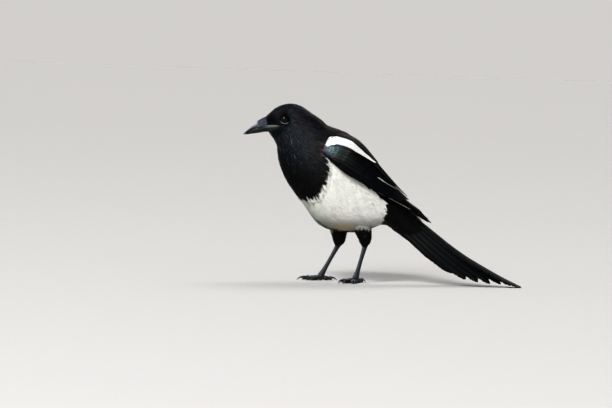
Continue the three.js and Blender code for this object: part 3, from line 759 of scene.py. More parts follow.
def ball(centre, radius, rings, sides):
    """A sphere whose poles point sideways."""
    lat, lon = grid(np.linspace(0.02, np.pi - 0.02, rings), around(sides) * 2 * np.pi)
    way = np.stack([np.sin(lat) * np.cos(lon), -np.cos(lat), np.sin(lat) * np.sin(lon)], -1)
    return closed_tube(np.asarray(centre) + radius * way)


# Tufts: thin tapered strands with a ridge, which lie along a surface


def tuft_faces():
    """Triangles of a tuft, whose points are three rings of three and a tip."""
    walls = [
        face
        for k in (0, 3)
        for a, b in ((0, 1), (1, 2), (2, 0))
        for face in ((k + a, k + a + 3, k + b + 3), (k + a, k + b + 3, k + b))
    ]
    return np.array([(0, 1, 2)] + walls + [(6, 9, 7), (7, 9, 8), (8, 9, 6)])


TUFT_FACES = tuft_faces()


def tufts(shape, surface, u, v, length, half, angle, low, high, colours, look):
    """Adds a tuft for each root (u, v), in millimetres: its length and half width, the angle of its lie
    off the way of u, and its height over the surface at root and tip."""
    ridge, shade, soft = look
    step_u, step_v = surface.steps(u, v, length, angle)
    t = TUFT_SHARES[None, :]
    us = u[:, None] + step_u[:, None] * t
    over = np.maximum(us - 1, 0)
    vs = v[:, None] + step_v[:, None] * t
    slope_u, _, normal = surface.slopes(us, vs)
    height = low[:, None] + (high - low)[:, None] * np.sqrt(t)
    path = surface.point(np.minimum(us, 1), vs) + normal * height[..., None] + slope_u * over[..., None]
    ahead = unit(np.gradient(path, axis=1))
    out = unit(normal - ahead * np.sum(normal * ahead, -1, keepdims=True))
    wide = np.cross(out, ahead)[:, :3]
    w = (half[:, None] * TUFT_WIDTHS)[..., None]
    middle = path[:, :3]
    rings = np.stack([middle - wide * w, middle + out[:, :3] * w * ridge, middle + wide * w], 2)
    points = np.concatenate([rings.reshape(len(u), 9, 3), path[:, 3:]], 1)
    outward = np.repeat(out, TUFT_POINTS, 1)
    outward[:, [0, 3, 6]] -= TUFT_LEAN * wide
    outward[:, [2, 5, 8]] += TUFT_LEAN * wide
    normals = unit(mix(unit(outward), np.repeat(normal, TUFT_POINTS, 1), soft))
    faces = (np.arange(len(u)) * 10)[:, None, None] + TUFT_FACES
    # Painted shade: each tuft darkens towards its root, deep in the coat
    tone = 1 - shade + shade * np.repeat(TUFT_SHARES, TUFT_POINTS)
    tones = colours[:, None, :] * tone[None, :, None]
    root = np.stack([PATCH + MAP_SPAN * np.clip(u, 0, 1), PATCH + MAP_SPAN * (v % 1)], -1)
    places = root[:, None, :] + (TUFT_PATCH - 0.5) * PATCH
    rows = (points.reshape(-1, 3), faces.reshape(-1, 3), tones.reshape(-1, 3), places.reshape(-1, 2))
    shape.add(*rows, normals=normals.reshape(-1, 3))


def trimmed(surface, u, v, length, angle, allowed):
    """Lengths cut short where tips would fall outside what is allowed, or zero where none is short enough."""
    for _ in range(5):
        good = allowed(*surface.reach(u, v, length, angle))
        length = np.where(good, length, length * 0.7)
    return np.where(allowed(*surface.reach(u, v, length, angle)), length, 0)


def roots(surface, last, spacing, rng, span=(0, 1), probes=49, fine=400):
    """Staggered rows of roots over a surface from u = 0 to last, at about that spacing(u, v)."""
    found = []
    u = 0.0
    probe = np.linspace(span[0], span[1], probes)
    row = 0
    while u < last:
        here = np.full(probes, u)
        along, across, _ = surface.slopes(here, probe)
        run = np.linalg.norm(along, axis=-1)
        girth = np.linalg.norm(across, axis=-1) * (span[1] - span[0])
        gap = spacing(here, probe)
        step = np.min(gap / run)
        total = np.cumsum(np.interp(spaced(fine), spaced(probes), girth / gap)) / fine
        count = int(total[-1])
        marks = (np.arange(count) + 0.5 * (row % 2) + rng.uniform(-0.3, 0.3, count)) % max(count, 1)
        share = np.interp(marks, total, spaced(fine))
        v = span[0] + share * (span[1] - span[0])
        keep = rng.random(count) < np.interp(share, spaced(probes), step * run / gap)
        us = u + step * rng.uniform(-0.35, 0.35, count)
        found.append(np.stack([us, v], -1)[keep])
        u += step
        row += 1
    found = np.concatenate(found)
    return np.maximum(found[:, 0], 0), found[:, 1]


# Markings


def is_white(points, rng):
    """Whether the small feathers at points are white: inside the belly, but for its vent and a painted
    shadow.
    """
    x, y, z = columns(points)
    edge = inside(WHITE_BELLY, x, z) + rng.normal(0, 0.6, len(x)) + 0.8 * ripple(points, 9)
    top = VENT_Z + 3 * ripple(points, 8) + rng.normal(0, 2, len(x))
    vent = (x > VENT_ENDS[0]) & (x < VENT_ENDS[1]) & (z < top) & (np.abs(y) < VENT_HALF)
    off_x, off_z = x - SHADOW_LINE[0], z - SHADOW_LINE[1]
    t = np.clip(off_x / SHADOW_LINE_RUN[0], 0, 1)
    away = np.hypot(off_x - SHADOW_LINE_RUN[0] * t, off_z - SHADOW_LINE_RUN[1] * t)
    shadow_line = (away < SHADOW_LINE_HALF + 0.6 * ripple(points, 5)) & (y > SHADOW_LINE_Y[0]) & (y < SHADOW_LINE_Y[1])
    return (edge > 0) & ~vent & ~shadow_line


def plumage(points, rng):
    """The colour of the small feathers at points on the bird, and whether each is white. The white has
    painted shade at its lower front and underneath, and the black has painted sheen on the head.
    """
    x, y, z = columns(points)
    white = is_white(points, rng)
    pale = np.array(WHITE) * (0.97 + 0.03 * ripple(points, 14, 2.0))[:, None]
    # Painted shade: the white greys towards the lower front and darkens underneath
    pale = blend(pale, SHADE_GREY, ramp(*SHADE_GREY_Z, z) * ramp(*SHADE_GREY_X, x)) * mix(1, 0.5, ramp(*UNDER_SHADE_Z, z))[:, None]
    pale = blend(pale, WARM, 0.7 * (ramp(*WARM_Z, z) * ramp(*WARM_FRONT, x) * ramp(*WARM_REAR, x)))
    # The front of the head is blue-black with a painted sheen
    dark = blend(BLACK, BLUE_BLACK_AND_SHEEN, ramp(*BLUE_X, x) * ramp(*BLUE_Z, z))
    dark = dark * (1 + 0.4 * ripple(points, 11, 1.0))[:, None]
    # Spots of other tones, among them painted sheen and reflection on the head
    for (at_x, at_z), spread, colour in TONES_AND_PAINTED_SHEEN:
        near = np.exp(-((x - at_x) ** 2 + (z - at_z) ** 2) / spread**2) * (np.abs(y) > MIDDLE_HALF)
        dark = blend(dark, colour, near)
    return np.where(white[:, None], pale, dark), white


# Coat


def coat_sizes(u, v):
    under = (0.5 - 0.5 * np.cos(2 * np.pi * v))[..., None]
    upper = np.stack([np.interp(u, COAT_PLACES, column) for column in zip(*COAT_UPPER)], -1)
    lower = np.stack([np.interp(u, COAT_PLACES, column) for column in zip(*COAT_UNDER)], -1)
    return columns(mix(upper, lower, under))


def coat_depth(u):
    return np.interp(u, COAT_PLACES, COAT_DEPTH)


def clear_of_eye(u, v):
    x, y, z = columns(body_point(u, v))
    return (np.hypot(x - EYE[0], z - EYE[2]) > EYE_CLEAR) | (np.abs(y) < MIDDLE_HALF)


def coat_lie(points, length, rng):
    """Lengths, cut near the eye and ahead of the white, and angles, which swirl round the eye."""
    x, y, z = columns(points)
    side = np.sign(y)
    eye_away = np.hypot(x - EYE[0], z - EYE[2]) + 20 * (np.abs(y) < MIDDLE_HALF)
    near_eye = ramp(12, 6, eye_away)
    edge = inside(WHITE_BELLY, x, z)
    length = mix(length, 2.2, near_eye) * (1 - 0.45 * np.exp(-((edge / 6) ** 2)) * (edge < 1))
    droop = -side * 0.8 * ramp(-45, -8, x) * ramp(125, 95, z)
    swirl = -side * near_eye * 0.8 * np.sign(z - EYE[2]) * (x < EYE[0])
    return length, droop + swirl + 0.14 * ripple(points, 25, 3.0) + rng.normal(0, 0.04, len(x))


def grow_body_coat(rng):
    """All the small feathers of the body, in pieces by region, side and colour."""
    surface = BODY_SURFACE
    u, v = roots(surface, COAT_END, lambda a, b: coat_sizes(a, b)[2], rng)
    points = surface.point(u, v)
    x, y, z = columns(points)
    keep = (inside(wing_outline(), x, z) < UNDER_WING) | (np.abs(y) < SPINE_HALF)
    u, v = u[keep], v[keep]
    length, half, _, lift, strands = coat_sizes(u, v)
    length, angle = coat_lie(points[keep], length, rng)
    length = trimmed(surface, u, v, length, angle, clear_of_eye)
    keep = (length > 0) & clear_of_eye(u, v)
    u, v, length, half, angle, lift, strands = (a[keep] for a in (u, v, length, half, angle, lift, strands))
    colours, white = plumage(surface.point(*surface.reach(u, v, 0.6 * length, angle)), rng)
    whole = np.floor(strands + rng.random(len(u))).astype(int)
    colours, hackle = coat_tones(u, v, colours, white, rng)
    half = np.where(hackle, 0.6 * half, half)
    whole = np.where(hackle, 1, whole + white)
    for band, (first, last) in BANDS.items():
        for side, half_side in (("left", v % 1 < 0.5), ("right", v % 1 >= 0.5)):
            for look, chosen in (("black_small_feather", ~white), ("white_small_feather", white)):
                pick = np.flatnonzero((u >= first) & (u < last) & half_side & chosen)
                if len(pick):
                    pick = np.repeat(pick, whole[pick])
                    shape = Shape()
                    feathers = (a[pick] for a in (u, v, length, half, angle, lift, colours))
                    add_strands(shape, *feathers, look.startswith("white"), rng)
                    build(f"{side}_{band}_{look[:5]}_feathers", shape, look)


def coat_tones(u, v, colours, white, rng):
    """Colours with a sheen over the black, and which feathers are hackles: lone thin pale streaks."""
    here = BODY_SURFACE.point(u, v)
    sheen = 1 + 0.45 * ripple(here, 5.0, 4.0)[:, None]
    x, _, z = columns(here)
    throat = np.exp(-(((x - THROAT[0]) / THROAT_REACH[0]) ** 2) - ((z - THROAT[1]) / THROAT_REACH[1]) ** 2)
    hackle = ~white & (rng.random(len(u)) < mix(0.03, 0.2, throat)) & (u > 0.1) & (u < 0.6)
    dim = np.where(rng.random(len(u)) < 0.12, 0.93, 1)[:, None]
    black = np.where(hackle[:, None], blend(colours * 4, HACKLE, throat), colours * sheen)
    return np.where(white[:, None], colours * dim, black), hackle


def add_strands(shape, u, v, length, half, angle, lift, colours, pale, rng):
    """The strands of small feathers, which spread from the middle of each."""
    n = len(u)
    spread = rng.uniform(-1, 1, n)
    tufts(
        shape,
        BODY_SURFACE,
        u + rng.normal(0, 0.0008, n),
        v + spread * half * 0.004,
        length * (1 - 0.25 * np.abs(spread)) * rng.uniform(0.8, 1.15, n),
        half * rng.uniform(0.8, 1.2, n),
        angle + 0.16 * spread,
        -coat_depth(u) - 0.3,
        lift * np.where(pale, rng.uniform(0.4, 0.7, n), rng.uniform(-0.1, 1, n)),
        colours * np.where(pale, rng.uniform(0.96, 1.04, n), rng.uniform(0.5, 1.6, n))[:, None],
        WHITE_TUFT if pale else BLACK_TUFT,
    )


def grow_thigh_coat(name, side, rng):
    """Black trousers, under a fringe of the white feathers of the flank, greyed as painted shade."""
    surface = thigh_surface(name, side)
    u, v = roots(surface, 0.99, lambda a, b: np.full(np.shape(a), 1.7), rng)
    pick = np.repeat(np.arange(len(u)), 3)
    n = len(pick)
    u, v = u[pick], v[pick] + rng.normal(0, 0.01, n)
    points = surface.point(u, v)
    x, _, z = columns(points)
    white = z > 75.5 + 1.5 * ripple(points, 7) + rng.normal(0, 1.2, n)
    white |= (x < -64) & (z > 68)
    angle = rng.normal(0, 0.16, n)
    # Painted shade: the white fringe takes the colour from lower down and is greyed further
    pale, _ = plumage(points - [0, 0, 4], rng)
    pale = np.where(pale[:, :1] > 0.2, pale * 0.8, np.array(WHITE) * 0.45)
    dark = np.array(BLACK) * rng.uniform(0.4, 1.2, n)[:, None]
    colours = np.where(white[:, None], pale, dark)
    length = np.where(white, rng.uniform(6, 10, n), mix(9, 4.5, u) * rng.uniform(0.8, 1.2, n))
    high = np.where(white, rng.uniform(0, 1, n), rng.uniform(-0.8, 0.5, n))
    half = np.where(white, 0.4, mix(0.5, 0.34, u)) * rng.uniform(0.8, 1.2, n)
    parts = (u, v, length, half, angle, np.full(n, -2.2), high, colours)
    for look, chosen in (("black_small_feather", ~white), ("white_small_feather", white)):
        shape = Shape()
        tufts(shape, surface, *(a[chosen] for a in parts), THIGH_TUFT)
        build(f"{name}_thigh_{look[:5]}_feathers", shape, look)


def make_skin(rng):
    """One skin for the head, neck, body and thighs, which lies inside the coat."""
    u, v = grid(spaced(110), around(90))
    depth = coat_depth(u)
    x, y, z = columns(BODY_SURFACE.lifted(u, v, -depth))
    under_wing = ramp(-2, 5, inside(wing_outline(), x, z)) * (np.abs(y) > 3)
    shape = Shape()
    shape.add(*closed_tube(BODY_SURFACE.lifted(u, v, -depth - 3.5 * under_wing)))
    u, v = grid(spaced(40), around(32))
    for name, side in SIDES.items():
        shape.add(*closed_tube(thigh_surface(name, side).lifted(u, v, np.full(u.shape, -THIGH_DEPTH))))
    nodes = ("head", "neck", "breast", "back", "belly", "left_thigh", "right_thigh")
    skin = build("skin", shape, "black_small_feather", nodes, ())
    remesh(skin, 1.3)
    paint(skin.data, plumage(vertex_rows(skin, "co") / MM - SHIFT, rng)[0] * 0.9)


# Vanes: flight feathers and coverts as thin closed sheets with a shaft


def vane(shape, point, outline, halves, rows, colour, out, cell, rng, look=WING_VANE):
    """Adds a feather. point(share, across, height) places it, and colour(share, across) paints it."""
    shaft, fray = look
    shares = 1 - (1 - spaced(rows)) ** 1.25
    wide = np.interp(shares, *zip(*outline))
    share, column = grid(shares, VANE_COLUMNS)
    half = np.where(column > 0, *halves) * wide[:, None]
    ragged = 1 - np.abs(rng.normal(0, fray, share.shape)) * (np.abs(column) == 1) * (0.2 + 1.8 * share**3)
    across = column * half * ragged
    rise = shaft * (1 - share) * (column == 0) - 0.15 * column**2
    places = np.stack([0.05 + 0.9 * (column + 1) / 2, 0.02 + 0.96 * share], -1)
    shape.add(
        sheet(point(share, across, rise - VANE_THICK), point(share, across, rise)),
        sheet_faces(rows, len(VANE_COLUMNS), out),
        doubled(colour(share, column), 3),
        doubled(places, 2) * cell[2:] + cell[:2],
        doubled(np.stack([across, share * 100], -1), 2),
    )


def atlas_cells(count):
    """Equal cells of a square map: left, bottom, width and height of each."""
    across = math.ceil(math.sqrt(count))
    size = 1 / across
    return iter([np.array([k % across * size, k // across * size, size, size]) for k in range(count)])


def wing_tone(place, way):
    """The gloss of a wing feather by its place on the wing, painted into its colour."""
    blue = ramp(0.25, 0.5, place) * ramp(0.8, 0.55, place) * ramp(0.3, 0.6, way)
    bend = ramp(0.31, 0.13, place) * ramp(0.95, 0.7, way)
    hue = blend(TEAL, GREEN, ramp(0.1, 0.22, place))
    hue = blend(hue, VIOLET, ramp(0.06, 0.0, place))
    tone = blend(blend(SOOT, NAVY, blue), hue, bend)
    return blend(tone, OLIVE, ramp(0.6, 0.9, place))


def make_wing(name, side, rng):
    surface = wing_surface(side)
    shape = Shape()
    cells = atlas_cells(1 + sum(tier[0] for tier in WING_TIERS.values()) + len(BEND_ROWS) * BEND_COUNT)
    add_wing_bed(shape, surface, side, next(cells))
    for kind, (count, first, last, half, lift, rows, outline) in WING_TIERS.items():
        for k in range(count):
            ends = [mix(a, b, k / (count - 1)) for a, b in zip(first, last)]
            base = lift - (PRIMARY_STEP * k if kind == "primaries" else 0)
            add_wing_vane(shape, surface, side, ends, base, outline, half, rows, next(cells), rng)
    for row, (root, tip, lift) in enumerate(BEND_ROWS):
        for k in range(BEND_COUNT):
            way = mix(0.2 + 0.07 * row, 0.9, (k + 0.5 * (row % 2)) / BEND_COUNT)
            ends = (root, way, tip + 0.03 * (1 - way) + rng.normal(0, 0.006), way + rng.normal(0, 0.01))
            cell = next(cells)
            add_wing_vane(shape, surface, side, ends, lift, ROUND_TIP, BEND_HALF, BEND_POINTS, cell, rng)
    add_wing_lines(shape, surface, rng)
    build(f"{name}_wing_feathers", shape, "flight_feather", (f"{name}_wing",), ("OFBake", "Barbs"))


def add_wing_vane(shape, surface, side, ends, lift, outline, half, rows, cell, rng):
    """A feather from its root to its tip, the first and last pair of four (u, v) ends."""
    hue = rng.uniform(0.82, 1.18, 3) * rng.uniform(0.75, 1.3)

    def point(share, across, height):
        u = np.maximum(mix(ends[0], ends[2], share), 0)
        v = mix(ends[1], ends[3], share) + across / wing_width(u)
        sunk = lift - 3 * np.maximum(0, 1 - share / 0.3)
        return surface.lifted(u, v, sunk + across * WING_SHINGLE + height)

    def colour(share, column):
        tone = wing_tone(mix(ends[0], ends[2], share), mix(ends[1], ends[3], share)) * hue
        rim = np.maximum(0.35 * ramp(0.5, 1, np.abs(column)), ramp(0.72, 0.95, share))
        return tone * (0.6 + 0.9 * rim[..., None])

    vane(shape, point, outline, (half, half), rows, colour, side, cell, rng)


def add_wing_bed(shape, surface, side, cell):
    """The wing's solid base, which its feathers are rooted in."""
    rows, wide = 40, 24
    u, v = grid(np.linspace(*WING_BED, rows), spaced(wide))
    top = surface.lifted(u, v, mix(1.6, -0.9, u / WING_BED[1]))
    under = surface.lifted(u, v, np.full(u.shape, -2.6))
    places = doubled(np.stack([u, v], -1), 2) * cell[2:] + cell[:2]
    shape.add(sheet(under, top), sheet_faces(rows, wide, side), doubled(wing_tone(u, v), 3) * 0.6, places)


def locate(surface, x, z, height):
    """The (u, v) whose points at that height are nearest to places in side view."""
    u, v = grid(spaced(400), spaced(200))
    points = surface.lifted(u, v, height)
    away = np.hypot(points[..., 0] - x[:, None, None], points[..., 2] - z[:, None, None])
    best = away.reshape(len(x), -1).argmin(1)
    return u.ravel()[best], v.ravel()[best]


def add_wing_lines(shape, surface, rng):
    """Pale edges of a few feathers, as fine overlapping barbs in a row."""
    t = spaced(LINE_BARBS)
    for line, height, first, last in WING_LINES:
        x, z = (np.interp(t, spaced(len(line)), values) for values in zip(*line))
        u, v = locate(surface, x, z, height)
        along, across, _ = surface.slopes(u, v)
        step_u, step_v = (np.polyval(np.polyder(np.polyfit(t, a, 3)), t) for a in (u, v))
        angle = np.arctan2(step_v * np.linalg.norm(across, axis=-1), step_u * np.linalg.norm(along, axis=-1))
        half = mix(*LINE_HALF, t) * rng.uniform(0.9, 1.1, LINE_BARBS)
        low = np.full(LINE_BARBS, height - 0.6)
        length = np.full(LINE_BARBS, LINE_BARB)
        tufts(shape, surface, u, v, length, half, angle, low, low + 1.4, blend(first, last, t), LINE_TUFT)


def make_shoulder(name, side, rng):
    """The white shoulder patch and the black mantle above it, in silky strands over the top of the wing."""
    surface = wing_surface(side)
    u, v = roots(surface, 0.52, lambda a, b: np.full(np.shape(a), 1.1), rng, (0.0, 0.7))
    u, v = (np.repeat(a, 2) for a in (u, v))
    n = len(u)
    high = rng.uniform(4.4, 5.4, n) * mix(0.5, 1, ramp(0.5, 0.2, u))
    angle = rng.normal(0, 0.05, n) - 0.1
    low = mix(4.4, 2.4, ramp(0.05, 0.2, u))

    def marked(u, v, black):
        """Whether tips are on the mantle or, for white, on the patch."""
        x, _, z = columns(surface.lifted(u, v, high))
        patch = inside(WHITE_SHOULDER, x, z)
        above = z - np.interp(x, *zip(*WHITE_SHOULDER[:SHOULDER_EDGE]))
        return (above > 0) & (x < MANTLE_END) & (patch < 0) if black else patch > 0.1

    for black, colour, shades, replaced in (
        (False, PURE_WHITE, (0.97, 1.03), (f"{name}_scapulars",)),
        (True, BROWN_BLACK, (0.6, 1.5), ()),
    ):
        length = np.full(n, 9.0) * rng.uniform(0.8, 1.2, n)
        length = trimmed(surface, u, v, length, angle, lambda u, v: marked(u, v, black))
        pick = (length > 1.5) & marked(u, v, black)
        tones = np.array(colour) * rng.uniform(*shades, n)[:, None]
        parts = (u, v, length, rng.uniform(0.45, 0.65, n), angle, low, high, tones)
        shape = Shape()
        tufts(shape, surface, *(a[pick] for a in parts), SHOULDER_TUFT)
        look = "black_small_feather" if black else "white_small_feather"
        build(f"{name}_shoulder_{look[:5]}_feathers", shape, look, replaced)


def tail_feather(side, angle, length, layer):
    """The point(share, across, height) of a tail feather, which stays over the floor and the layers below."""
    below = [row[2] for row in TAIL_FEATHERS if row[5] > layer]

    def point(share, across, height):
        distance = length * share
        turn = side * (math.radians(angle) + 2 * across / (TAIL_HALF_WIDTH + TAIL_DEPTH))
        put = tail_point(distance, turn, 0.3 + height - layer * TAIL_LAYER)
        floor = sum((np.asarray(reach) > distance) * TAIL_LAYER for reach in below)
        put[..., 2] -= TAIL_SAG[layer] * share**3
        put[..., 2] = np.maximum(put[..., 2], floor + TAIL_CLEARANCE + 0.6 * height)
        return put

    return point


def make_tail(rng):
    shape = Shape()
    cells = atlas_cells(12)
    for sides, angle, length, outer, inner, layer in TAIL_FEATHERS:
        for side in sides:
            gloss = rng.uniform(0.6, 1.5)

            def colour(share, column, gloss=gloss):
                # Painted sheen: grey along the shaft and the edges, fading towards the tip
                near = ramp(0.3, 0.05, np.abs(column))
                rim = ramp(0.7, 1, np.abs(column))
                dark = 1 - 0.7 * ramp(0.35, 0.8, share)
                return blend(np.array(TAIL_SOOT) * gloss, TAIL_PAINTED_SHEEN, (0.5 * near + 0.45 * rim) * dark)

            point = tail_feather(side, angle, length, layer)
            vane(shape, point, TAIL_TIP, (outer, inner), TAIL_ROWS, colour, side, next(cells), rng, TAIL_VANE)
    build("tail_feathers", shape, "flight_feather", ("tail",), ("OFBake", "Barbs"))


# Bill and head


def make_bill(name, rows, widest, tone, node):
    u, v = grid(spaced(60), around(48))
    *ends, half = columns(read(rows, u))
    points, depth = oval(ends, half * np.sin(2 * np.pi * v), widest, np.cos(2 * np.pi * v))
    colours = tone(u, depth)
    shape = Shape()
    shape.add(*closed_tube(points), np.concatenate([colours.reshape(-1, 3), colours[0, :1], colours[-1, :1]]))
    build(name, shape, "horn", (node,), ())


def upper_tone(u, depth):
    # Slate, with a painted reflection of the sky along the top and a pale edge near the base
    painted_reflection = ramp(0.62, 0.12, depth) * ramp(0.15, 0.4, u) * ramp(0.98, 0.8, u)
    return blend(blend(SLATE, BILL_PAINTED_REFLECTION, painted_reflection), BILL_PALE, ramp(0.7, 0.84, depth) * ramp(0.62, 0.3, u) * 0.9)


def lower_tone(u, depth):
    return blend(blend(BILL_MOSS, BILL_DARK, ramp(0.15, 0.75, depth)), BILL_DARK, ramp(0.4, 0.8, u))


def make_bristles(rng):
    """Nasal bristles, which lie forward over the base of the bill."""
    n = 1400
    u = rng.uniform(0.1, 0.72, n)
    v = rng.uniform(0, 1, n)
    colours = blend(*BRISTLES, rng.random(n))
    length = rng.uniform(5, 8, n)
    half = rng.uniform(0.14, 0.24, n)
    angle = rng.normal(0, 0.12, n)
    high = rng.uniform(0.3, 1.2, n)
    shape = Shape()
    surface = Surface(bristle_point, -1)
    tufts(shape, surface, u, v, length, half, angle, np.full(n, -0.4), high, colours, BRISTLE_TUFT)
    build("nasal_bristles", shape, "black_small_feather")


def make_eye(name, side):
    x, y, z = EYE
    points, faces = ball((x, side * y, z), EYE_RADIUS, 48, 64)
    off = np.hypot(points[:, 0] - x, points[:, 2] - z)
    shape = Shape()
    shape.add(points, faces, blend(PUPIL_BLACK, IRIS, ramp(*PUPIL, off)))
    build(f"{name}_eyeball", shape, "eye", (f"{name}_eye",), ())


def make_lid(name, side):
    """The bare ring of the lids, with its pale lower rim."""
    rows, sides = 120, 14
    a, b = grid(around(rows) * 2 * np.pi, around(sides) * 2 * np.pi)
    beads = 1 + LID_BEAD * np.cos(a * LID_BEADS)
    ring = LID_RING + LID_THICK * np.cos(b) * beads
    tall = EYE[2] + ring * np.sin(a) * LID_TALL
    wide = EYE[0] + ring * np.cos(a)
    out = head_half(wide, tall) + LID_OUT + LID_THICK * np.sin(b) * beads
    i, j = grid(np.arange(rows), np.arange(sides))
    p, q = (i + 1) % rows, (j + 1) % sides
    faces = quads(i * sides + j, p * sides + j, p * sides + q, i * sides + q)
    colours = blend(LID_DARK, LID_PALE, ramp(-0.3, -0.8, np.sin(a + 0.1)))
    points = np.stack([wide, side * out, tall], -1).reshape(-1, 3)
    shape = Shape()
    shape.add(points, faces if side < 0 else faces[:, ::-1], colours.reshape(-1, 3))
    build(f"{name}_lids", shape, "bare_skin", (), ())


def head_half(x, z):
    """How far the side of the head is from the middle at places in side view."""
    u, v = grid(np.linspace(0, 0.3, 150), np.linspace(0.02, 0.48, 150))
    points = body_point(u, v).reshape(-1, 3)
    away = (points[:, 0] - x.reshape(-1, 1)) ** 2 + (points[:, 2] - z.reshape(-1, 1)) ** 2
    return -points[away.argmin(1), 1].reshape(x.shape)


def make_gape(name, side):
    """The pale bare corner of the mouth, which runs back from the bill under the eye."""
    rows, wide = 40, 16
    t, s = grid(spaced(rows), spaced(wide))
    x, upper, lower = (np.interp(t, spaced(len(GAPE)), column) for column in zip(*GAPE))
    z = mix(upper, lower, s)
    out = np.maximum(head_half(x, z), np.interp(x, *GAPE_FRONT) * (1 - 0.4 * s))
    ridge = np.exp(-(((s - 0.12) / 0.16) ** 2))
    rise = GAPE_RISE * (np.sin(np.pi * s) ** 0.5 * 0.7 + 0.3 * ridge) * np.sin(np.pi * (0.1 + 0.9 * t)) ** 0.6
    under, top = (np.stack([x, side * y, z], -1) for y in (out - 1.5, out + rise - 0.3))
    front, pale, moss, dark = GAPE_TONES
    tone = blend(blend(front, pale, ramp(0, 0.35, t)), moss, ramp(0.16, 0.5, s))
    tone = blend(tone, dark, ramp(0.6, 0.95, t))
    shape = Shape()
    shape.add(sheet(under, top), sheet_faces(rows, wide, side), doubled(tone, 3))
    build(f"{name}_gape", shape, "bare_skin", (), ())


# Feet


def saw(value):
    """A step up at each whole number, and a slope down to the next."""
    return 1 - (value - np.floor(value))


def make_leg(name, side):
    """The scaly shank and foot as one piece, and the four claws as another."""
    leg = LEGS[name]
    foot, heel = (np.array([x, side * y, z], float) for x, y, z in (leg["foot"], leg["thigh"][2]))
    top = heel + unit(heel - foot) * TARSUS_TUCK
    t = spaced(150)

    def scutes(share, turn):
        front = ramp(-0.2, 0.5, -np.sin(turn))
        return front * SCUTE * (saw(share * TARSUS_SCUTES) - 0.5) * ramp(0.06, 0.12, share)

    shape = Shape()
    centres = mix(top, foot, t[:, None])
    shape.add(*closed_tube(path_tube(centres, read(TARSUS, t), np.array([0.0, 1, 0]), relief=scutes)))
    claws = Shape()
    for _, heading, length, claw, joints in TOES:
        way = math.radians(leg["turn"] + heading)
        ahead = np.array([-math.cos(way), side * math.sin(way), 0])
        across = np.cross([0, 0, 1], ahead)
        root = foot * (1, 1, 0)
        add_toe(shape, root, ahead, across, length, joints)
        add_claw(claws, root + ahead * (length - CLAW_TUCK), ahead, across, claw)
    shape.add(*ball((foot[0], foot[1], HUB_RADIUS), HUB_RADIUS, 24, 32))
    piece = build(f"{name}_shank_and_foot", shape, "scaly_skin", (f"{name}_tarsus", f"{name}_foot"), ())
    remesh(piece, 0.34)
    # Painted highlight: faces that turn forward, toward the lamps, are lighter
    front = ramp(-0.1, 0.9, -vertex_rows(piece, "normal")[:, 0])
    paint(piece.data, blend(*FOOT_TONES_AND_HIGHLIGHT, front))
    build(f"{name}_claws", claws, "horn", tuple(f"{name}_{toe[0]}_claw" for toe in TOES), ())


def add_toe(shape, root, ahead, across, length, joints):
    """A toe with a pad under each joint and plates over it, which rises to its root and to its claw."""
    t = spaced(90)
    bump = np.cos(2 * np.pi * joints * t)
    radius = mix(*TOE_RADII, t) + TOE_BUMP * bump
    centres = root + ahead * (length * t)[:, None]
    low = radius - 0.25
    rise = 2 * (1 - t) ** 4
    centres[:, 2] = mix(low + 0.9 * (1 - bump) / 2 + rise, CLAW_HEIGHT, t**6)

    def plates(share, turn):
        return ramp(0.1, 0.6, -np.sin(turn)) * SCUTE * (saw(share * length / TOE_PLATE) - 0.5)

    rings = path_tube(centres, np.stack([radius, radius], -1), across, relief=plates)
    rings[..., 2] = np.maximum(rings[..., 2], 0.03)
    shape.add(*closed_tube(rings))


def add_claw(shape, base, ahead, across, length):
    """A claw, which arches up from its base and then down to its tip."""
    rows, sides = 24, 20
    t = spaced(rows)
    dip = np.radians(mix(*CLAW_DIPS, t))
    step = length / (rows - 1)
    centres = base + ahead * (np.cumsum(np.cos(dip)) * step)[:, None]
    radius = mix(*CLAW_RADII, t**0.9)
    centres[:, 2] = np.maximum(CLAW_HEIGHT - np.cumsum(np.sin(dip)) * step, radius + 0.02)
    rings = path_tube(centres, np.stack([radius * 0.8, radius], -1), across, sides)
    shade = np.linspace(1, 0.6, rows)[:, None, None] * np.ones((rows, sides, 3)) * CLAW_TONE
    shape.add(*closed_tube(rings), np.concatenate([shade.reshape(-1, 3), shade[0, :1], shade[-1, :1]]))


# Materials


def connect(tree, node, inputs):
    """Links a node's inputs, by name or number, to other nodes' outputs, or fills them with values."""
    for key, value in inputs.items():
        if isinstance(value, bpy.types.NodeSocket):
            tree.links.new(value, node.inputs[key])
        else:
            node.inputs[key].default_value = value
    return node


def add_node(tree, kind, inputs, **settings):
    node = tree.nodes.new(kind)
    for key, value in settings.items():
        setattr(node, key, value)
    return connect(tree, node, inputs)


def texture(tree, kind, scale, output):
    """A pattern fixed to the piece, with that many cells in a metre."""
    place = tree.nodes.new("ShaderNodeTexCoord")
    return add_node(tree, kind, {"Scale": scale, "Vector": place.outputs["Object"]}).outputs[output]


def make_material(name, roughness, specular, sheen, metallic, coat):
    """A material that reads its colour from the piece's own tones, with fine specks."""
    material = bpy.data.materials.new(name)
    material.use_nodes = True
    tree = material.node_tree
    tone = tree.nodes.new("ShaderNodeAttribute")
    tone.attribute_name = "Tone"
    speck = texture(tree, "ShaderNodeTexNoise", SPECKS, "Fac")
    low, high = SPECK_RANGE
    span = add_node(tree, "ShaderNodeMapRange", {"To Min": low, "To Max": high, "Value": speck})
    inputs = {0: tone.outputs["Color"], "Scale": span.outputs["Result"]}
    scaled = add_node(tree, "ShaderNodeVectorMath", inputs, operation="SCALE")
    connect(tree, tree.nodes["Principled BSDF"], {
        "Base Color": scaled.outputs["Vector"],
        "Roughness": roughness,
        "Specular IOR Level": specular,
        "Sheen Weight": sheen,
        "Metallic": metallic,
        "Coat Weight": coat,
    })
    return material


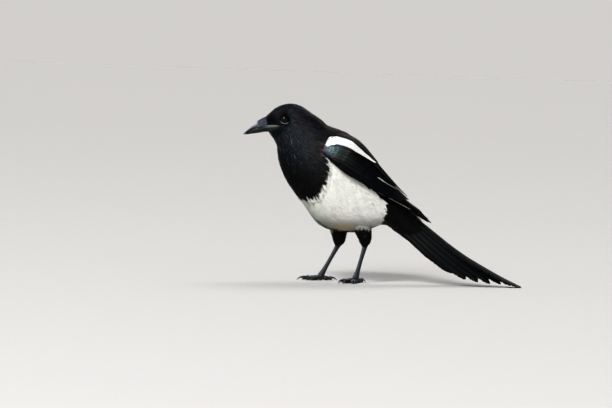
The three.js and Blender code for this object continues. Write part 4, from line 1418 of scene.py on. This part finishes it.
def bump(material, height, strength):
    tree = material.node_tree
    inputs = {"Strength": strength, "Distance": BUMP_DEPTH * MM, "Height": height}
    node = add_node(tree, "ShaderNodeBump", inputs)
    connect(tree, tree.nodes["Principled BSDF"], {"Normal": node.outputs["Normal"]})


def barbs(tree):
    """Fine slanted barbs on each side of a feather's shaft."""
    places = add_node(tree, "ShaderNodeUVMap", {}, uv_map="Barbs")
    split = add_node(tree, "ShaderNodeSeparateXYZ", {"Vector": places.outputs["UV"]})
    off = add_node(tree, "ShaderNodeMath", {0: split.outputs["X"]}, operation="ABSOLUTE")
    inputs = {0: split.outputs["Y"], 1: off.outputs["Value"]}
    run = add_node(tree, "ShaderNodeMath", inputs, operation="SUBTRACT")
    wave = add_node(tree, "ShaderNodeMath", {0: run.outputs["Value"], 1: 0.5}, operation="PINGPONG")
    return wave.outputs["Value"]


def make_looks():
    """Each look's material and slot, with bumps where the pieces have none of their own."""
    looks = {name: (make_material(name, *values), slot) for name, (values, slot) in MATERIALS.items()}
    feather, horn, scales = (looks[name][0] for name in ("flight_feather", "horn", "scaly_skin"))
    bump(feather, barbs(feather.node_tree), BARB_BUMP)
    bump(horn, texture(horn.node_tree, "ShaderNodeTexNoise", HORN_GRAIN, "Fac"), HORN_BUMP)
    bump(scales, texture(scales.node_tree, "ShaderNodeTexVoronoi", SCALES, "Distance"), SCALE_BUMP)
    return looks


# Stage


def make_floor():
    mesh = bpy.data.meshes.new("floor")
    corners = [(x * FLOOR_HALF, y * FLOOR_HALF, 0) for x, y in ((-1, -1), (1, -1), (1, 1), (-1, 1))]
    mesh.from_pydata(corners, [], [(0, 1, 2, 3)])
    floor = bpy.data.objects.new("floor", mesh)
    bpy.context.scene.collection.objects.link(floor)
    material = bpy.data.materials.new("floor")
    material.use_nodes = True
    tree = material.node_tree
    inputs = {"Base Color": FLOOR, "Roughness": 1, "Specular IOR Level": 0}
    connect(tree, tree.nodes["Principled BSDF"], inputs)
    mesh.materials.append(material)


def make_world():
    """A soft sky, which the camera sees as a plain backdrop."""
    world = bpy.data.worlds.new("studio")
    world.use_nodes = True
    tree = world.node_tree
    place = tree.nodes.new("ShaderNodeTexCoord")
    split = add_node(tree, "ShaderNodeSeparateXYZ", {"Vector": place.outputs["Generated"]})
    span = add_node(tree, "ShaderNodeMapRange", SKY | {"Value": split.outputs["Z"]})
    sky = connect(tree, tree.nodes["Background"], {"Color": SKY_COLOUR, "Strength": span.outputs["Result"]})
    backdrop = add_node(tree, "ShaderNodeBackground", {"Color": BACKDROP})
    seen = tree.nodes.new("ShaderNodeLightPath")
    shades = sky.outputs["Background"], backdrop.outputs["Background"]
    inputs = {"Fac": seen.outputs["Is Camera Ray"], 1: shades[0], 2: shades[1]}
    either = add_node(tree, "ShaderNodeMixShader", inputs)
    connect(tree, tree.nodes["World Output"], {"Surface": either.outputs["Shader"]})
    bpy.context.scene.world = world


def make_lamp(name, kind, place, size, power, colour):
    """A lamp aimed at the bird."""
    light = bpy.data.lights.new(name, kind)
    if kind == "SUN":
        light.angle = size
    else:
        light.size = size
    light.energy = power
    light.color = colour
    lamp = bpy.data.objects.new(name, light)
    lamp.location = place
    aim = Vector(LAMP_AIM) - lamp.location
    lamp.rotation_euler = aim.to_track_quat("-Z", "Y").to_euler()
    bpy.context.scene.collection.objects.link(lamp)


def make_stage():
    make_floor()
    make_world()
    for name, lamp in LAMPS.items():
        make_lamp(name, *lamp)
    view = bpy.context.scene.view_settings
    view.view_transform = "Standard"
    view.look = "High Contrast"


def make_camera():
    camera = bpy.data.cameras.new("camera")
    camera.lens = CAMERA["lens"]
    camera.sensor_width = SENSOR
    camera.clip_start = CLIP_START
    item = bpy.data.objects.new("camera", camera)
    item.location = CAMERA["place"]
    aim = Vector(CAMERA["aim"]) - item.location
    roll = Quaternion((0, 0, 1), math.radians(CAMERA["roll"]))
    item.rotation_mode = "QUATERNION"
    item.rotation_quaternion = aim.to_track_quat("-Z", "Y") @ roll
    bpy.context.scene.collection.objects.link(item)
    bpy.context.scene.camera = item


def main():
    rng = np.random.default_rng(SEED)
    make_camera()
    make_stage()
    make_skin(rng)
    grow_body_coat(rng)
    for name, side in SIDES.items():
        grow_thigh_coat(name, side, rng)
    for name, side in SIDES.items():
        make_wing(name, side, rng)
        make_shoulder(name, side, rng)
        make_leg(name, side)
    make_tail(rng)
    make_bill("bill_upper_horn", UPPER_BILL, UPPER_WIDEST, upper_tone, "bill_upper")
    make_bill("bill_lower_horn", LOWER_BILL, LOWER_WIDEST, lower_tone, "bill_lower")
    make_bristles(rng)
    for name, side in SIDES.items():
        make_eye(name, side)
        make_lid(name, side)
        make_gape(name, side)


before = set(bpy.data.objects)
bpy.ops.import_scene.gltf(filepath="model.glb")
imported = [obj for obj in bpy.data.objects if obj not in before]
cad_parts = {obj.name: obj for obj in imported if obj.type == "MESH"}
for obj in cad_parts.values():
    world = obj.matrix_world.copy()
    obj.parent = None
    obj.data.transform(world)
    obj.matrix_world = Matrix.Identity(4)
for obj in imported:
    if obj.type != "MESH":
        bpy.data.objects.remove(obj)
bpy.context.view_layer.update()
low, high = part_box("left_eye")
# How far this script's left eye is moved to the frame's, along the floor
SHIFT = ((np.array(low) + np.array(high)) / 2 / MM - (EYE[0], -EYE[1], EYE[2])) * (1, 1, 0)
LOOKS = make_looks()
main()
